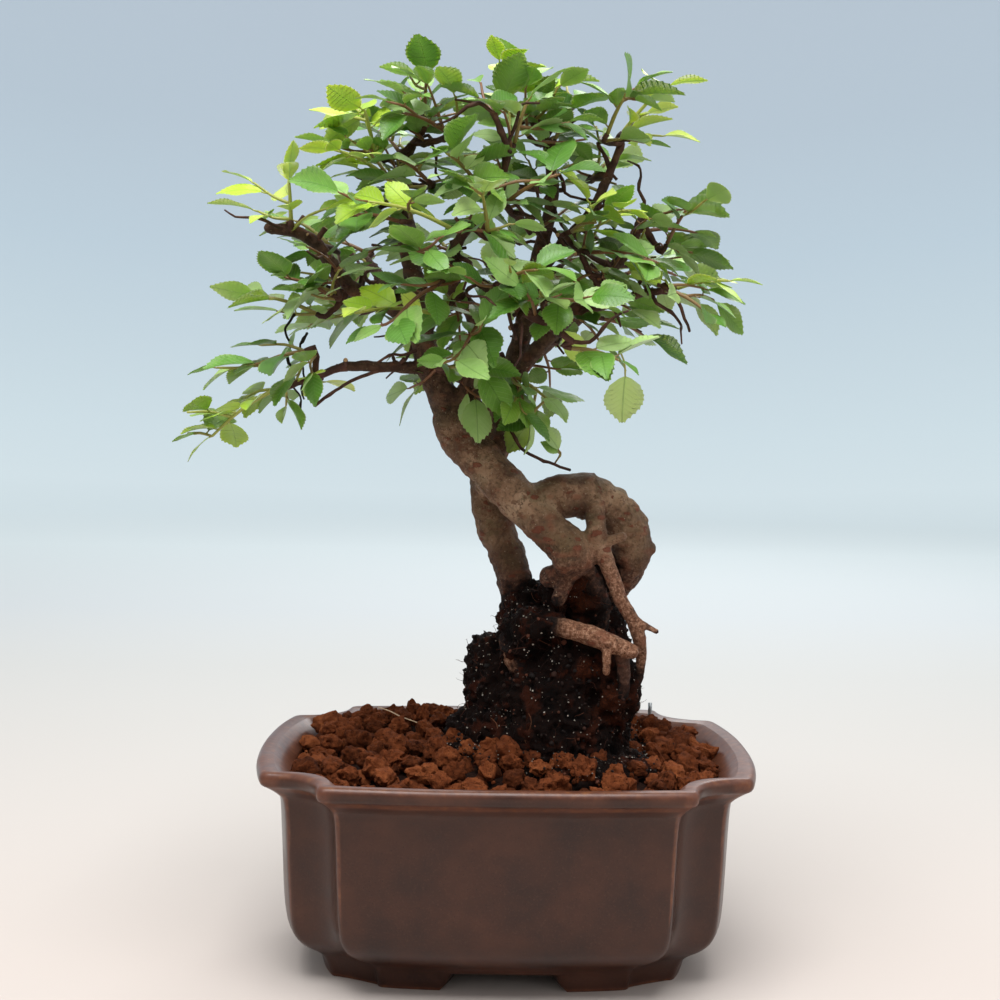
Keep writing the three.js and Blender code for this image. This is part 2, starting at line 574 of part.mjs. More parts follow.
// A leaf's frame: where it leaves the stem, which way it runs, its normal and its size.
// Leaves face up and outwards.
function leafAt(path, share, side, draw, swing) {
  const { point, along } = pointOn(path, share);
  const light = unit(add(mul(UP, 0.8), mul(unit(sub(point, CANOPY_CENTRE)), LEAF_FACING)));
  const level = size(cross(along, light)) > 0.25 ? light : [0.6, -0.8, 0];
  const flat = unit(cross(along, level));
  const out = turn(mul(flat, side || 0), along, swing);
  const spread = side === 0 ? 0 : 0.95 + 0.3 * (draw.spread - 0.5);
  const tilt = side === 0 ? 0.1 * (draw.lift - 0.5) : 0.35 * (draw.lift - 0.4);
  const run = unit(add(add(mul(along, Math.cos(spread)), mul(out, Math.sin(spread))), mul(light, tilt)));
  const facing = sub(light, mul(run, dot(light, run)));
  const upper = size(facing) > 0.2 ? unit(facing) : flat;
  const normal = turn(upper, run, 1.3 * (draw.roll - 0.5) + (side === 0 ? swing : 0));
  const across = cross(normal, run);
  const [length, width] = [LEAF_LENGTH * draw.size, LEAF_WIDTH * draw.size * (0.9 + 0.25 * draw.spread)];
  return { point, along, share, last: side === 0, run, normal, across, length, width };
}

// Every shoot's leaves, alternate along the stem with one at the tip.
// Those that would meet others are swung aside.
const SWINGS = [0, 0.45, -0.45, 0.9, -0.9, 1.4, -1.4, 2.0, -2.0, 2.7];
function placeLeaves() {
  const random = seeded(SEED + 7);
  return SHOOTS.map((shoot) => {
    const path = stemPath(shoot);
    const swings = [...shoot[5]];
    return swings.flatMap((swing, i) => {
      const last = i === swings.length - 1;
      const side = last ? 0 : i % 2 ? -1 : 1;
      const share = last ? 0.97 : 0.12 + (0.76 * i) / Math.max(1, swings.length - 2);
      const draw = { spread: random(), lift: random(), roll: random(), size: 0.8 + 0.4 * random() };
      draw.size *= shoot[4] === "young" ? 0.85 : 1;
      return swing === "." ? [] : [leafAt(path, share, side, draw, SWINGS[swing])];
    });
  });
}

// Half of a leaf's edge as shares of its length and half width, with two blunt teeth.
const LEAF_EDGE = [[0.3, 0.96], [0.41, 0.78], [0.66, 0.84]];
const LEAF_DROOP = 0.1; // how far the tip hangs, as a share of the length
const NODE_HALF = 0.55; // half the stretch of stem that a leaf stands on
function leafRings(leaf) {
  const at = (u, v, lift) => {
    const flat = add(mul(leaf.run, u * leaf.length), mul(leaf.across, (v * leaf.width) / 2));
    return add(add(leaf.point, flat), mul(leaf.normal, lift - LEAF_DROOP * leaf.length * u * u));
  };
  const h = LEAF_THICKNESS / 2;
  const rings = LEAF_EDGE.map(([u, v]) => [at(u, -v, h), at(u, -v, -h), at(u, v, -h), at(u, v, h)]);
  return { rings, tip: at(1, 0, 0) };
}

// The order of a ring's corners that lies closest to another ring's, so that the skin between isn't wrung.
function matched(ring, target) {
  const turned = ring.map((_, k) => ring.map((__, i) => ring[(i + k) % ring.length]));
  const partner = (i) => target[Math.min(i, target.length - 1)];
  const miss = (one) => one.reduce((sum, q, i) => sum + size(sub(q, partner(i))), 0);
  return turned.reduce((best, one) => (miss(one) < miss(best) ? one : best));
}

// One closed mesh of a three-sided stem whose faces grow out into leaves, with the last leaf on its end.
function makeShoot(shoot, leaves) {
  const path = stemPath(shoot);
  const length = size(sub(path[3].slice(0, 3), path[0].slice(0, 3)));
  const points = [];
  const faces = [];
  const keep = (ring) => ring.map((q) => points.push(q) - 1);
  const bridge = (a, b, skipped = -1) => {
    a.forEach((p0, i) => {
      const j = (i + 1) % a.length;
      if (i !== skipped) faces.push([p0, a[j], b[j]], [p0, b[j], b[i]]);
    });
  };
  const section = (share, facing) => {
    const { point, along, radius } = pointOn(path, share);
    const out = unit(sub(facing, mul(along, dot(facing, along))));
    const corners = [-1, 1, 3].map((k) => turn(mul(out, radius), along, (k * Math.PI) / 3));
    return corners.map((corner) => add(point, corner));
  };
  const growLeaf = (base, leaf) => {
    const { rings, tip } = leafRings(leaf);
    const ordered = matched(rings[0], base.map((k) => points[k]));
    const shift = rings[0].indexOf(ordered[0]);
    let last = base;
    for (const ring of rings) {
      const next = keep(ring.map((_, i) => ring[(i + shift) % 4]));
      bridge(last, next);
      last = next;
    }
    const end = points.push(tip) - 1;
    last.forEach((p0, i) => faces.push([p0, last[(i + 1) % 4], end]));
  };
  const side = leaves.filter((leaf) => !leaf.last);
  const end = leaves.find((leaf) => leaf.last);
  const facingOf = (leaf) => sub(leaf.run, mul(leaf.along, dot(leaf.run, leaf.along)));
  let ring = keep(section(0, side.length ? facingOf(side[0]) : UP));
  faces.push([ring[0], ring[2], ring[1]]);
  for (const leaf of side) {
    const low = section(leaf.share - NODE_HALF / length, facingOf(leaf));
    const fitted = matched(low, ring.map((k) => points[k]));
    const lower = keep(fitted);
    bridge(ring, lower);
    const high = section(leaf.share + NODE_HALF / length, facingOf(leaf));
    const turnBy = low.indexOf(fitted[0]);
    const upper = keep(high.map((_, i) => high[(i + turnBy) % 3]));
    const open = (3 - turnBy) % 3;
    bridge(lower, upper, open);
    const next = (open + 1) % 3;
    growLeaf([lower[open], lower[next], upper[next], upper[open]], leaf);
    ring = upper;
  }
  const top = section(0.96, side.length ? facingOf(side[side.length - 1]) : UP);
  const last = keep(matched(top, ring.map((k) => points[k])));
  bridge(ring, last);
  if (end) {
    growLeaf([...last, last[0]], end);
  } else {
    faces.push(last);
  }
  return solidFrom(closedSurface(points, faces.filter(([a, b, c]) => a !== b && b !== c && c !== a)));
}

// The wood: trunks round, limbs and twigs with fewer sides.
const sidesFor = (radius) => (radius > 4 ? 8 : radius > 2.5 ? 6 : radius > 1.3 ? 4 : 3);
function makeWood() {
  const roots = Object.values(ROOTS).map((path) => tube(path, sidesFor(path[1][3])));
  const limbs = Object.values(LIMBS).map((path) => tube(path, sidesFor(path[2][3])));
  const twigs = SHOOTS.map((shoot) => tube(twigPath(shoot), 3, { dome: 0 }));
  return union([...roots, ...limbs, ...twigs]);
}

// Plain holes in the ball round the stretches of root that run through it.
const BURIED = [
  ROOTS.rear_trunk.slice(0, 5),
  ROOTS.looping_root.slice(-3),
  ROOTS.hanging_root.slice(-3),
  ROOTS.resting_root.slice(0, 4),
  ROOTS.crown_root,
  ROOTS.inner_root,
  ROOTS.down_root,
  ROOTS.drop_root,
  ROOTS.root_spur,
];
function rootHoles() {
  return union(BURIED.map((path) => tube(path, HOLE_SIDES, { grow: HOLE_MARGIN, dome: 1 })));
}

// Materials and the finished group.
function finish(color, roughness, metalness = 0) {
  return new THREE.MeshStandardMaterial({ color, roughness, metalness });
}
const GLAZE = finish("#4d3a33", 0.42);
const CLAY = finish("#7a452a", 0.95);
const PEAT = finish("#1f1512", 0.95);
const BARK = finish("#6d5c4b", 0.85);
const NETTING = finish("#22262a", 0.6);
const WIRE = finish("#a8adb0", 0.35, 1);
const YOUNG_LEAF = finish("#7fb52e", 0.5);
const MATURE_LEAF = finish("#4c8f36", 0.5);

const tree = new THREE.Group();
tree.name = "chinese_elm_bonsai";

function place(name, solid, material) {
  const mesh = new THREE.Mesh(geometryFrom(solid), material);
  mesh.name = name;
  tree.add(mesh);
}

place("pot", withoutSlivers(makePot()), GLAZE);
place("drain_net_left", makeNet(-DRAIN_X), NETTING);
place("drain_net_right", makeNet(DRAIN_X), NETTING);
place("tie_wire", makeWire(), WIRE);
place("granules", withoutSlivers(makeBed()), CLAY);
place("root_ball", withoutSlivers(makeBall().subtract(rootHoles())), PEAT);
place("tree_wood", withoutSlivers(makeWood()), BARK);
placeLeaves().forEach((leaves, i) => {
  const number = String(i + 1).padStart(2, "0");
  place(`shoot_${number}`, makeShoot(SHOOTS[i], leaves), SHOOTS[i][4] === "young" ? YOUNG_LEAF : MATURE_LEAF);
});

// The frame's origin is under the middle of the whole object, on the surface that it stands on.
const bounds = new THREE.Box3().setFromObject(tree);
tree.position.set(-(bounds.min.x + bounds.max.x) / 2, -(bounds.min.y + bounds.max.y) / 2, 0);

export default tree;
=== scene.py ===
import math

import bpy
import numpy as np
from mathutils import Matrix, Vector


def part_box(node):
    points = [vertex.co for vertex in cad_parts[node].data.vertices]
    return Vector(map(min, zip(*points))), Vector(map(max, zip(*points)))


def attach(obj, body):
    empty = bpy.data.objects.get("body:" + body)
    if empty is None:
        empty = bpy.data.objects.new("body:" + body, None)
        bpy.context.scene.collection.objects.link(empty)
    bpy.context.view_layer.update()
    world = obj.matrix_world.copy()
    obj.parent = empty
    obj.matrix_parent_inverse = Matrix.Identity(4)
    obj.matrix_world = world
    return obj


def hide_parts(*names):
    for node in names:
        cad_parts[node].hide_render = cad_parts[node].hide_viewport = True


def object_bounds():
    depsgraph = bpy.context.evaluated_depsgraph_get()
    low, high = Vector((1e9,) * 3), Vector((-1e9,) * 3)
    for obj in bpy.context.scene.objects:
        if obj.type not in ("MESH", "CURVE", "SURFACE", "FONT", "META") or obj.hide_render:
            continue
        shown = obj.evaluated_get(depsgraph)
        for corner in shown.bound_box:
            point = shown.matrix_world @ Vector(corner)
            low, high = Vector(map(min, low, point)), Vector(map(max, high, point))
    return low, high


# A Chinese elm bonsai in its glazed pot.
# Shapes are worked out in millimetres round the pot's centre line, and moved to the frame when they become
# meshes.
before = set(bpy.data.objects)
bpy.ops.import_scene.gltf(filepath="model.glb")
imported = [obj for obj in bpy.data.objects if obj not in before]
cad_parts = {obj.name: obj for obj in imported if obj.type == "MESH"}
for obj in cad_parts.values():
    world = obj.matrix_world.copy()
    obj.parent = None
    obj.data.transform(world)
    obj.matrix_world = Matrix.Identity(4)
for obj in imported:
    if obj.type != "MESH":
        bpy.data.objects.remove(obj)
cad_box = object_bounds()
MM = 0.001
pot_low, pot_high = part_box("pot")
POT_CENTRE = np.array([(pot_low.x + pot_high.x) / 2, (pot_low.y + pot_high.y) / 2, 0.0]) / MM
CAD_LOW = np.array(cad_box[0]) / MM - POT_CENTRE
CAD_HIGH = np.array(cad_box[1]) / MM - POT_CENTRE
UP = np.array([0.0, 0.0, 1.0])
SEED = 20260

# The camera of the photograph: where it stands, how it is turned and its lens.
CAMERA_DISTANCE = 443.0
CAMERA_YAW = 0.0107
CAMERA_PITCH = 0.0714
CAMERA_ROLL = 0.0160
CAMERA_SIDE = -2.68
CAMERA_AIM_Z = 130.1
CAMERA_LENS = 56.3
SENSOR = 36.0

# The pot's driving dimensions.
LIP_HALF_WIDTH = 69.5
LIP_HALF_DEPTH = 54.5
SIDE_LOBE_HALF = 37
FRONT_LOBE_HALF = 48.5
SIDE_BOW = 4.5
FRONT_BOW = 2.5
SIDE_LOBE_TAPER = 0.8
FRONT_LOBE_TAPER = 0.68
CORNER_ROUND = 1.7
FLOOR_Z = 9.5
UNDERSIDE_Z = 5
FOOT_RING_INSET = 28
FOOT_GAP_FRONT = 33
FOOT_GAP_SIDE = 26
FOOT_GAP_SLOPE = 2.5
FOOT_GAP_SOFTNESS = 0.2
THINNEST = 0.1
DRAIN_X = 30
DRAIN_RADIUS = 6
DRAIN_SIDES = 28

# The corners of its plan: how far the curves between lobe and notch lean out, how deep the notch goes,
# the inset at which it starts to fade, and the points of each curve.
SIDE_LEAN = 0.6
FRONT_LEAN = 0.4
END_LEAN = 0.3
TURN_LEAN = 0.2
NOTCH_REACH = 1.5
NOTCH_FADE = 9
NOTCH_LEAST = 0.15
BOW_GRIP = 0.55
CURVE_POINTS = (16, 6, 12, 6, 20)

# Waves of the glaze's surface: how deep, how wide and their seed. Then the levels between which the lip's
# edge wears, and where its face and its top wear less.
GLAZE_WAVES = [(0.10, 17, 3), (0.04, 6, 4)]
LIP_EDGE = (53.4, 54.8)
LIP_FACE = (55.2, 56.6)
LIP_TOP = (60, 58)
LIP_FACE_SPARED = 0.6
FOOT_EDGE = (1.6, 0.2)
CORNER_INSET = 6.3
EDGE_TURN = (0.3, 0.4)
EDGE_SPAN = 3

# Levels of the pot's wall: height, side inset, front inset.
OUTSIDE = [
    (0, 18.2, 22), (5, 16.9, 21.2), (7.6, 14.7, 19), (9.8, 11.4, 14.6), (13.5, 8.6, 9.8), (19, 7.6, 7.8),
    (35, 6.9, 7.0), (51.0, 6.3, 6.3), (53.2, 4.6, 4.6), (55.4, 2.0, 2.0), (56.4, 0.3, 0.3), (58.6, 0, 0),
    (59.9, 0.8, 0.8), (60.1, 2.2, 2.2), (59.6, 4.6, 4.6),
]
INSIDE = [(55.5, 9.4, 9.4), (45, 10.2, 10.2), (16, 13.2, 14.2), (FLOOR_Z, 18.5, 22.5)]

# The bed of granules: its levels, its reach to the side and to the front, and its heaps: x, y, rise and
# reach.
BED_RIM_Z = 54
BED_RISE = 7
BED_REACH = (60, 45)
BED_CURVE = 2.2
BACK_SLOPE = 0.05
HEAPS = [(-28, 30, 4, 22), (-50, 20, 2.4, 14), (46, 22, 4.5, 13)]

# Foliage. Up to the droop of a leaf, the values repeat those of the solids.
LEAF_LENGTH = 14.5
LEAF_WIDTH = 8.4
LEAF_FACING = 0.85
CANOPY_CENTRE = np.array([-8.0, 2.0, 195.0])
STEM_BACK = 6
STEM_RADIUS = 0.75
TWIG_RADIUS = 1.0
TWIG_NECK = 2.5
NECK_WIDTH = 1.05
LONG_TWIG = 14
KNEE_AT = 0.55
KNEE_BACK = 0.08
KNEE_WIDTH = 0.95
STEM_ARCH = 0.05
STEM_MIDDLE = [(0.34, 0.9), (0.68, 0.75)]
STEM_TIP = 0.6
LAST_LEAF = {"young": 0.75, "mature": 0.85}
LAST_LEAF_MOST = 0.6
CLEARANCE = 0.4
LEAF_DROOP = 0.13
SWINGS = [0, 0.45, -0.45, 0.9, -0.9, 1.4, -1.4, 2.0, -2.0, 2.7]
LEAN_BACK = 0.75
STEM_SLIMMER = 0.82
STEM_SIDES = 7
INFILL_LEAVES = 560
LEAF_SPACING = 3.95
LOWEST_LEAF = 132
LEAF_CREASE = math.radians(60)
GRAIN_CREASE = math.radians(42)

# Leaves that hang by themselves: their stalk, their tip, the way they face, their width and age.
LONE_LEAVES = [
    ([(12.6, -1.2, 140.8), (13.6, -1.8, 142.4), (14.2, -2.0, 143.8)], (8.3, -2.6, 151.6),
     (0.5, -1, 0.45), 5.4, 0.7),
    ([(13.4, -1.7, 142.2), (14.0, -1.9, 142.8), (14.2, -2.0, 143.4)], (8.8, -2.8, 147.2),
     (0.3, -1, 0.5), 4.0, 0.6),
    ([(28.5, -25.5, 171.5), (29.3, -26, 169.5), (29.7, -26, 167.0)], (29.9, -25.0, 152.6),
     (0.1, -1, 0.25), 10.4, 0.5),
    ([(2.0, -14, 158), (2.4, -15, 156.5), (3.0, -15.5, 155.5)], (11.4, -17, 149.0),
     (0.3, -0.8, 0.6), 3.8, 0.6),
]

LONE_STALK = 0.26

# The dry straw on the granules at the back left.
STRAW = [(-38.0, 24, 65.2), (-34.6, 21, 64.8), (-31.0, 17, 64.0), (-25.3, 13, 62.9)]

# The root ball's lumps of peat: x, y, z and half sizes.
BALL_LUMPS = [
    (13, 4, 62, 23, 23, 31), (13, 5, 40, 25, 24, 26), (5.5, 6, 95, 8, 9, 11), (15, 7, 97, 10, 8, 11.5),
    (4, -3, 92, 6.5, 10, 9), (27, 7, 87, 9, 10, 14), (-3, 4, 78, 9, 10, 14), (19, -6, 83, 13, 9, 12),
    (-5, 2, 62, 12, 12, 10),
]
# Peat that clings to the root across the ball's front, and loose peat over the granules at its foot.
CLINGING = [(6, -6, 95, 8, 6, 5.5), (30, -8, 78, 8, 8, 10), (19, -3, 107.5, 6, 5, 6), (22, -2, 101, 6, 5, 6),
            (26.5, -1, 110, 4.5, 4, 5), (13, -3, 104, 4, 4, 5), (10, -10.5, 96, 6, 4.6, 4)]
SPILL = [(26, -9, 54.5, 17, 15, 7), (2, -14, 55, 12, 8, 5.5), (34, 8, 54.5, 10, 12, 6),
         (19, -22, 53.5, 15, 9, 5.5), (-10, -6, 56, 10, 9, 7)]
# The ball is drawn from just under the granules upwards.
BALL_SHOWS_FROM = 44

# The tie wire's way, which repeats that of its solid.
WIRE_RADIUS = 0.6
WIRE_PATH = [(-30, 0, 34), (-30, 0, 3.6), (30, 0, 3.6), (30, 0, 16), (44, 28, 24), (44.5, 30, 66.5)]

# Wood that is finer than the solids: root stubs under the trunk's knob with a root that shows through the
# peat, and dead twigs, each x, y, z and radius.
CLUMPS = [
    [(19, -8, 113, 3.6), (14, -7, 110, 3.4), (10, -5, 108.5, 2.6)],
    [(17, -8, 111, 2.6), (15, -9, 106, 2.3), (13.5, -9.5, 102, 1.7)],
    [(22, -7, 112, 2.4), (24, -4, 106, 2.1), (25, -3, 100, 2.0)],
    [(0.5, -4.6, 93, 3.0), (2, -5.9, 88, 3.9), (4, -6.6, 83, 3.2)],
]
DEAD_TWIGS = [
    [(-60, -9, 181, 0.42), (-62.6, -9, 176.7, 0.36), (-61.2, -9, 172.6, 0.34), (-61.8, -9.5, 168.4, 0.32),
     (-60.0, -9.5, 165.2, 0.3), (-60.4, -9.5, 161.6, 0.3), (-58.2, -9.5, 158.5, 0.28),
     (-58.3, -9.5, 155.4, 0.26), (-59.0, -9.6, 153.4, 0.24), (-59.8, -9.6, 154.2, 0.2)],
    [(-56.5, -9, 176, 0.4), (-58.6, -9, 172, 0.34), (-58.0, -9, 168, 0.32), (-57.2, -9.4, 163, 0.3),
     (-57.9, -9.5, 159.7, 0.28), (-57.2, -9.5, 157.8, 0.24)],
]

# Burrs on the trunk and the loop, and where the bark folds: x, y, z, then a radius, or a reach and a depth.
KNOBS = [(-13, -4, 151, 4.2), (-9, -2, 154, 4.2), (-9, 3, 150, 5.0), (16, -11.5, 114.5, 4.6),
         (40.3, 3.6, 116.7, 2.1), (-6.5, 6, 134, 3.6)]
FOLDS = [(8, -6, 130, 4.0, 0.22), (-14, -5, 147, 4.5, 0.16), (24, -3, 128, 4.0, 0.2)]

# The tree's skeleton: x, y, z and radius, from the thick end to the thin one.
ROOTS = {
    "leaning_trunk": [(20, -9, 112, 4.4), (18, -10, 116, 5.7), (12, -9, 121.5, 5.6), (7, -7, 126, 5.4),
        (1, -5, 132, 5.8), (-7, -3, 140, 5.9), (-14, -1, 148, 6.3), (-16.5, 0, 155, 5.9)],
    "rear_trunk": [(5, 7, 86, 3.6), (3.4, 8, 98, 4.6), (2.2, 8, 106, 4.8), (-0.6, 9, 114, 5.0),
        (-3.5, 10, 121, 5.2), (-6.3, 10, 131, 4.7), (-6, 10, 140, 4.7), (-4, 9.5, 149, 4.7),
        (-4, 9.5, 156, 4.2)],
    "looping_root": [(5, -5, 129, 4.4), (11, -3, 131, 5.6), (16, -2, 131.5, 6.1), (21, 0, 131.5, 6.5),
        (27, 2, 129, 6.4), (32, 3, 124.5, 6.3), (34.6, 4, 119, 6.2), (34.9, 5, 114.3, 5.7),
        (33.6, 6, 109.5, 5.0), (30.8, 8, 104, 4.2), (28, 9.5, 97, 3.4), (26, 10, 89, 2.7)],
    "hanging_root": [(24, -3, 131, 2.8), (24, -8, 125, 2.8), (25, -10, 119, 2.6), (27, -12, 114, 2.4),
        (29, -13, 109, 2.2), (31, -14, 104, 1.9), (34, -14, 99, 1.7), (36, -14, 94, 1.8),
        (37, -12, 88, 1.4), (36.5, -10, 80, 1.0), (32, -6, 72, 0.9)],
    "resting_root": [(3, 5, 92, 2.4), (4, -6, 95, 2.3), (10, -11, 96.5, 2.5), (15, -14, 96, 2.6),
        (20, -15.5, 95, 2.7), (25, -16.5, 93.5, 2.7), (29, -17, 92, 2.3), (32, -18, 91, 2.1),
        (35, -18, 90, 1.8)],
    "crown_root": [(17, -7, 113, 3.6), (15, -4, 109, 3.4), (14, -2, 102, 3.0), (12, 1, 93, 2.6),
        (4, 6, 88, 2.6)],
    "inner_root": [(20, -6, 112, 3.2), (24.3, -3, 106, 3.6), (26, 0, 98, 3.3), (25, 2, 88, 2.4)],
    "drop_root": [(27, -17, 92, 1.2), (27, -18.3, 88, 1.1), (27, -18.3, 84, 0.9)],
    "down_root": [(31, -16.5, 90, 1.8), (32, -15.5, 84, 1.7), (32, -14, 78, 1.6), (28, -10, 70, 1.4)],
    "root_stub": [(25, -10, 119, 1.5), (29.5, -12.6, 120.8, 1.3), (31.8, -13.4, 121.6, 1.1)],
    "root_spur": [(34, -14, 99, 1.0), (38, -15, 97, 0.8), (41, -16, 95.5, 0.6)],
    "bark_knob": [(36, 4, 117, 3.2), (40.5, 3, 116.5, 1.8)],
}

LIMBS = {
    "left_leader": [(-16, 0, 153, 4.6), (-20, -1, 161, 4.2), (-23, -2, 168, 3.7), (-26, 0, 179, 3.1),
        (-28, 3, 192, 2.6), (-31, 5, 206, 2.1), (-33, 6, 219, 1.7), (-29, 6, 230, 1.2)],
    "left_limb": [(-26, 0, 179, 2.4), (-36, -2, 185, 2.2), (-45, -3, 189, 2.0), (-51, -4, 196, 1.8),
        (-55, -5, 201, 1.7), (-61, -6, 204, 1.6), (-67, -6, 204.5, 1.5)],
    "front_fork": [(-15, -1, 151, 4.2), (-11, -3, 162, 3.3), (-10, -5, 172, 2.7), (-11, -8, 182, 2.3),
        (-16, -12, 188, 2.0), (-16, -18, 193, 1.7), (-16, -25, 198, 1.4), (-12, -30, 204, 1.1)],
    "front_right": [(-16, -18, 193, 1.5), (-10, -24, 190, 1.4), (-4, -28, 186, 1.3), (2, -31, 182, 1.2),
        (9, -34, 178, 1.1), (15, -36, 174, 0.9)],
    "centre_leader": [(-3, 10, 154, 3.2), (0, 10, 166, 2.9), (4, 10, 181, 2.6), (6, 10, 193, 2.3),
        (9, 10, 206, 2.0), (11, 9, 218, 1.7), (9, 8, 231, 1.3), (5, 6, 240, 1.0)],
    "right_limb": [(-2, 9, 158, 2.4), (2, 6, 166, 2.2), (9, 3, 175, 2.1), (17, 2, 183, 1.9),
        (23, 2, 190, 1.8), (28, 2, 196, 1.6), (33, 3, 202, 1.5), (36, 4, 210, 1.2)],
    "right_low": [(17, 2, 183, 1.4), (28, -2, 186, 1.2), (38, -5, 189, 1.1), (44, -7, 189, 0.9)],
    "upper_right": [(6, 10, 193, 1.9), (14, 9, 203, 1.6), (22, 7, 212, 1.4), (27, 5, 223, 1.2),
        (30, 3, 231, 1.0)],
    "low_left": [(-23, -2, 167, 1.9), (-32, -6, 167, 1.4), (-46, -9, 167, 1.2), (-54, -11, 164, 1.0),
        (-62, -12, 161, 0.9)],
    "back_left": [(-26, 0, 179, 2.2), (-32, 12, 186, 1.9), (-38, 24, 193, 1.6), (-44, 34, 200, 1.2)],
    "back_centre": [(4, 10, 181, 2.2), (3, 22, 188, 1.9), (1, 34, 196, 1.5), (-1, 44, 203, 1.1)],
    "back_right": [(0, 10, 166, 2.2), (12, 18, 176, 1.9), (24, 28, 186, 1.5), (33, 35, 194, 1.1)],
    "back_low": [(-3, 10, 156, 1.9), (-8, 20, 164, 1.5), (-14, 30, 168, 1.1)],
    "bare_left": [(-32, -6, 167, 0.8), (-40, -9, 165, 0.8), (-46, -10, 162, 0.7), (-54, -12, 156, 0.7)],
    "bare_right": [(-4, 9, 155, 0.9), (0, 2, 150, 0.8), (3, 0, 145, 0.7), (7, -1, 142.5, 0.7),
        (17, -2, 139, 0.6)],
    "cut_stub": [(-4, -16, 212, 1.0), (-3, -24, 225, 0.9), (-6, -28, 233, 0.8)],
    "cut_feeder": [(9, 10, 206, 1.3), (2, -4, 208, 1.1), (-4, -16, 212, 1.0)],
}

# The shoots: the limb and its station that bear each, its foot, its tip, its age, and a digit for each
# leaf's swing, where a dot is a leaf left out or a small one at the tip.
SHOOTS = [
    ("centre_leader", 7, (-2, -1, 243), (-8, -6, 261), "young", "01000"),
    ("left_leader", 7, (-40, -8, 231), (-43, -16, 244), "young", "0000"),
    ("left_leader", 6, (-42, -14, 222), (-57, -22, 228), "young", "00503"),
    ("left_limb", 5, (-61.5, -9, 212.5), (-62, -11, 225), "young", "0102"),
    ("front_fork", 7, (-22, -36, 204), (-48, -44, 211), "young", "0.40100"),
    ("left_leader", 7, (-24, -18, 232), (-38, -30, 236), "mature", "0046."),
    ("centre_leader", 7, (4, 2, 243), (2, 0, 257), "mature", "6741"),
    ("centre_leader", 6, (14, 6, 237), (22, 8, 252), "mature", "0800."),
    ("upper_right", 4, (34, 2, 238), (49, -2, 254), "young", "000022"),
    ("right_limb", 7, (46, 2, 208), (54, 0, 222), "mature", "5004"),
    ("right_limb", 6, (43, 8, 207), (64, 10, 207), "mature", "84.0."),
    ("right_low", 3, (51, -6, 191), (70, -8, 194), "young", "02103"),
    ("right_low", 3, (48, -13, 186), (60, -18, 178), "mature", "140."),
    ("right_low", 1, (26, -16, 198), (49, -26, 194), "mature", "03500."),
    ("front_right", 5, (20, -38, 171), (36, -46, 167), "mature", "0003."),
    ("front_right", 4, (15, -33, 184), (34, -42, 181), "mature", "0103."),
    ("right_limb", 1, (5, -6, 162), (17, -12, 154), "mature", "200."),
    ("front_fork", 1, (-14, -12, 167), (-1, -22, 167), "mature", "4004"),
    ("low_left", 4, (-69, -15, 157), (-89, -22, 141), "young", "0023172"),
    ("low_left", 3, (-62, -16, 169), (-80, -19, 163), "mature", "1001."),
    ("left_limb", 2, (-60, -7, 183), (-82, -9, 189), "mature", "000027"),
    ("front_fork", 4, (-26, -27, 181), (-50, -43, 180), "young", "000101."),
    ("left_limb", 3, (-55, -14, 188), (-71, -22, 194), "mature", "5141."),
    ("left_limb", 4, (-56, 5, 204), (-70, 9, 214), "mature", "00000"),
    ("front_fork", 6, (-20, -36, 194), (-32, -48, 199), "mature", "1015."),
    ("front_fork", 7, (-8, -37, 206), (-10, -49, 217), "mature", "0041"),
    ("front_right", 2, (0, -38, 190), (12, -52, 194), "mature", "00003"),
    ("front_fork", 5, (-24, -34, 185), (-38, -48, 172), "mature", "97.0.0"),
    ("cut_feeder", 2, (2, -26, 213), (20, -36, 222), "mature", "50032"),
    ("right_limb", 5, (20, -16, 206), (38, -30, 212), "young", "00002."),
    ("cut_stub", 1, (1, -22, 232), (5, -26, 245), "mature", "0000"),
    ("left_leader", 6, (-27, -20, 219), (-36, -33, 224), "mature", "10.0"),
    ("left_leader", 5, (-36, -22, 206), (-53, -32, 207), "mature", "04621"),
    ("front_fork", 3, (-10, -25, 177), (-18, -36, 165), "mature", "2001."),
    ("left_leader", 7, (-36, 15, 232), (-44, 26, 241), "mature", "0100"),
    ("back_left", 3, (-50, 38, 204), (-66, 42, 209), "mature", "00006"),
    ("back_left", 2, (-48, 27, 187), (-64, 33, 180), "mature", "10003"),
    ("back_centre", 3, (-3, 49, 208), (-7, 61, 216), "mature", "401."),
    ("back_centre", 2, (6, 42, 190), (10, 56, 183), "mature", "000."),
    ("back_right", 3, (40, 39, 199), (54, 47, 205), "mature", "30005"),
    ("back_right", 2, (33, 30, 181), (50, 36, 175), "mature", "01213"),
    ("centre_leader", 6, (7, 20, 237), (6, 33, 247), "mature", "0202"),
    ("centre_leader", 5, (-6, 25, 224), (-20, 38, 232), "mature", "0132."),
    ("upper_right", 3, (26, 20, 226), (36, 32, 235), "mature", "00234"),
    ("back_low", 2, (-19, 36, 170), (-32, 46, 165), "mature", "01215"),
    ("back_centre", 1, (18, 34, 201), (28, 48, 209), "mature", "0000."),
    ("back_left", 1, (-22, 30, 205), (-31, 47, 213), "mature", "00005"),
    ("right_limb", 4, (40, 20, 197), (60, 26, 194), "mature", "03.5."),
    ("left_limb", 1, (-50, 14, 181), (-70, 19, 176), "mature", "3000."),
    ("centre_leader", 6, (0, -8, 234), (-13, -22, 244), "mature", "0305."),
    ("left_leader", 7, (-25, -6, 240), (-24, -16, 253), "mature", "4.46"),
    ("upper_right", 4, (27, -8, 236), (32, -20, 247), "mature", "0.014"),
    ("cut_feeder", 2, (-14, -25, 219), (-24, -36, 227), "mature", "2385."),
]


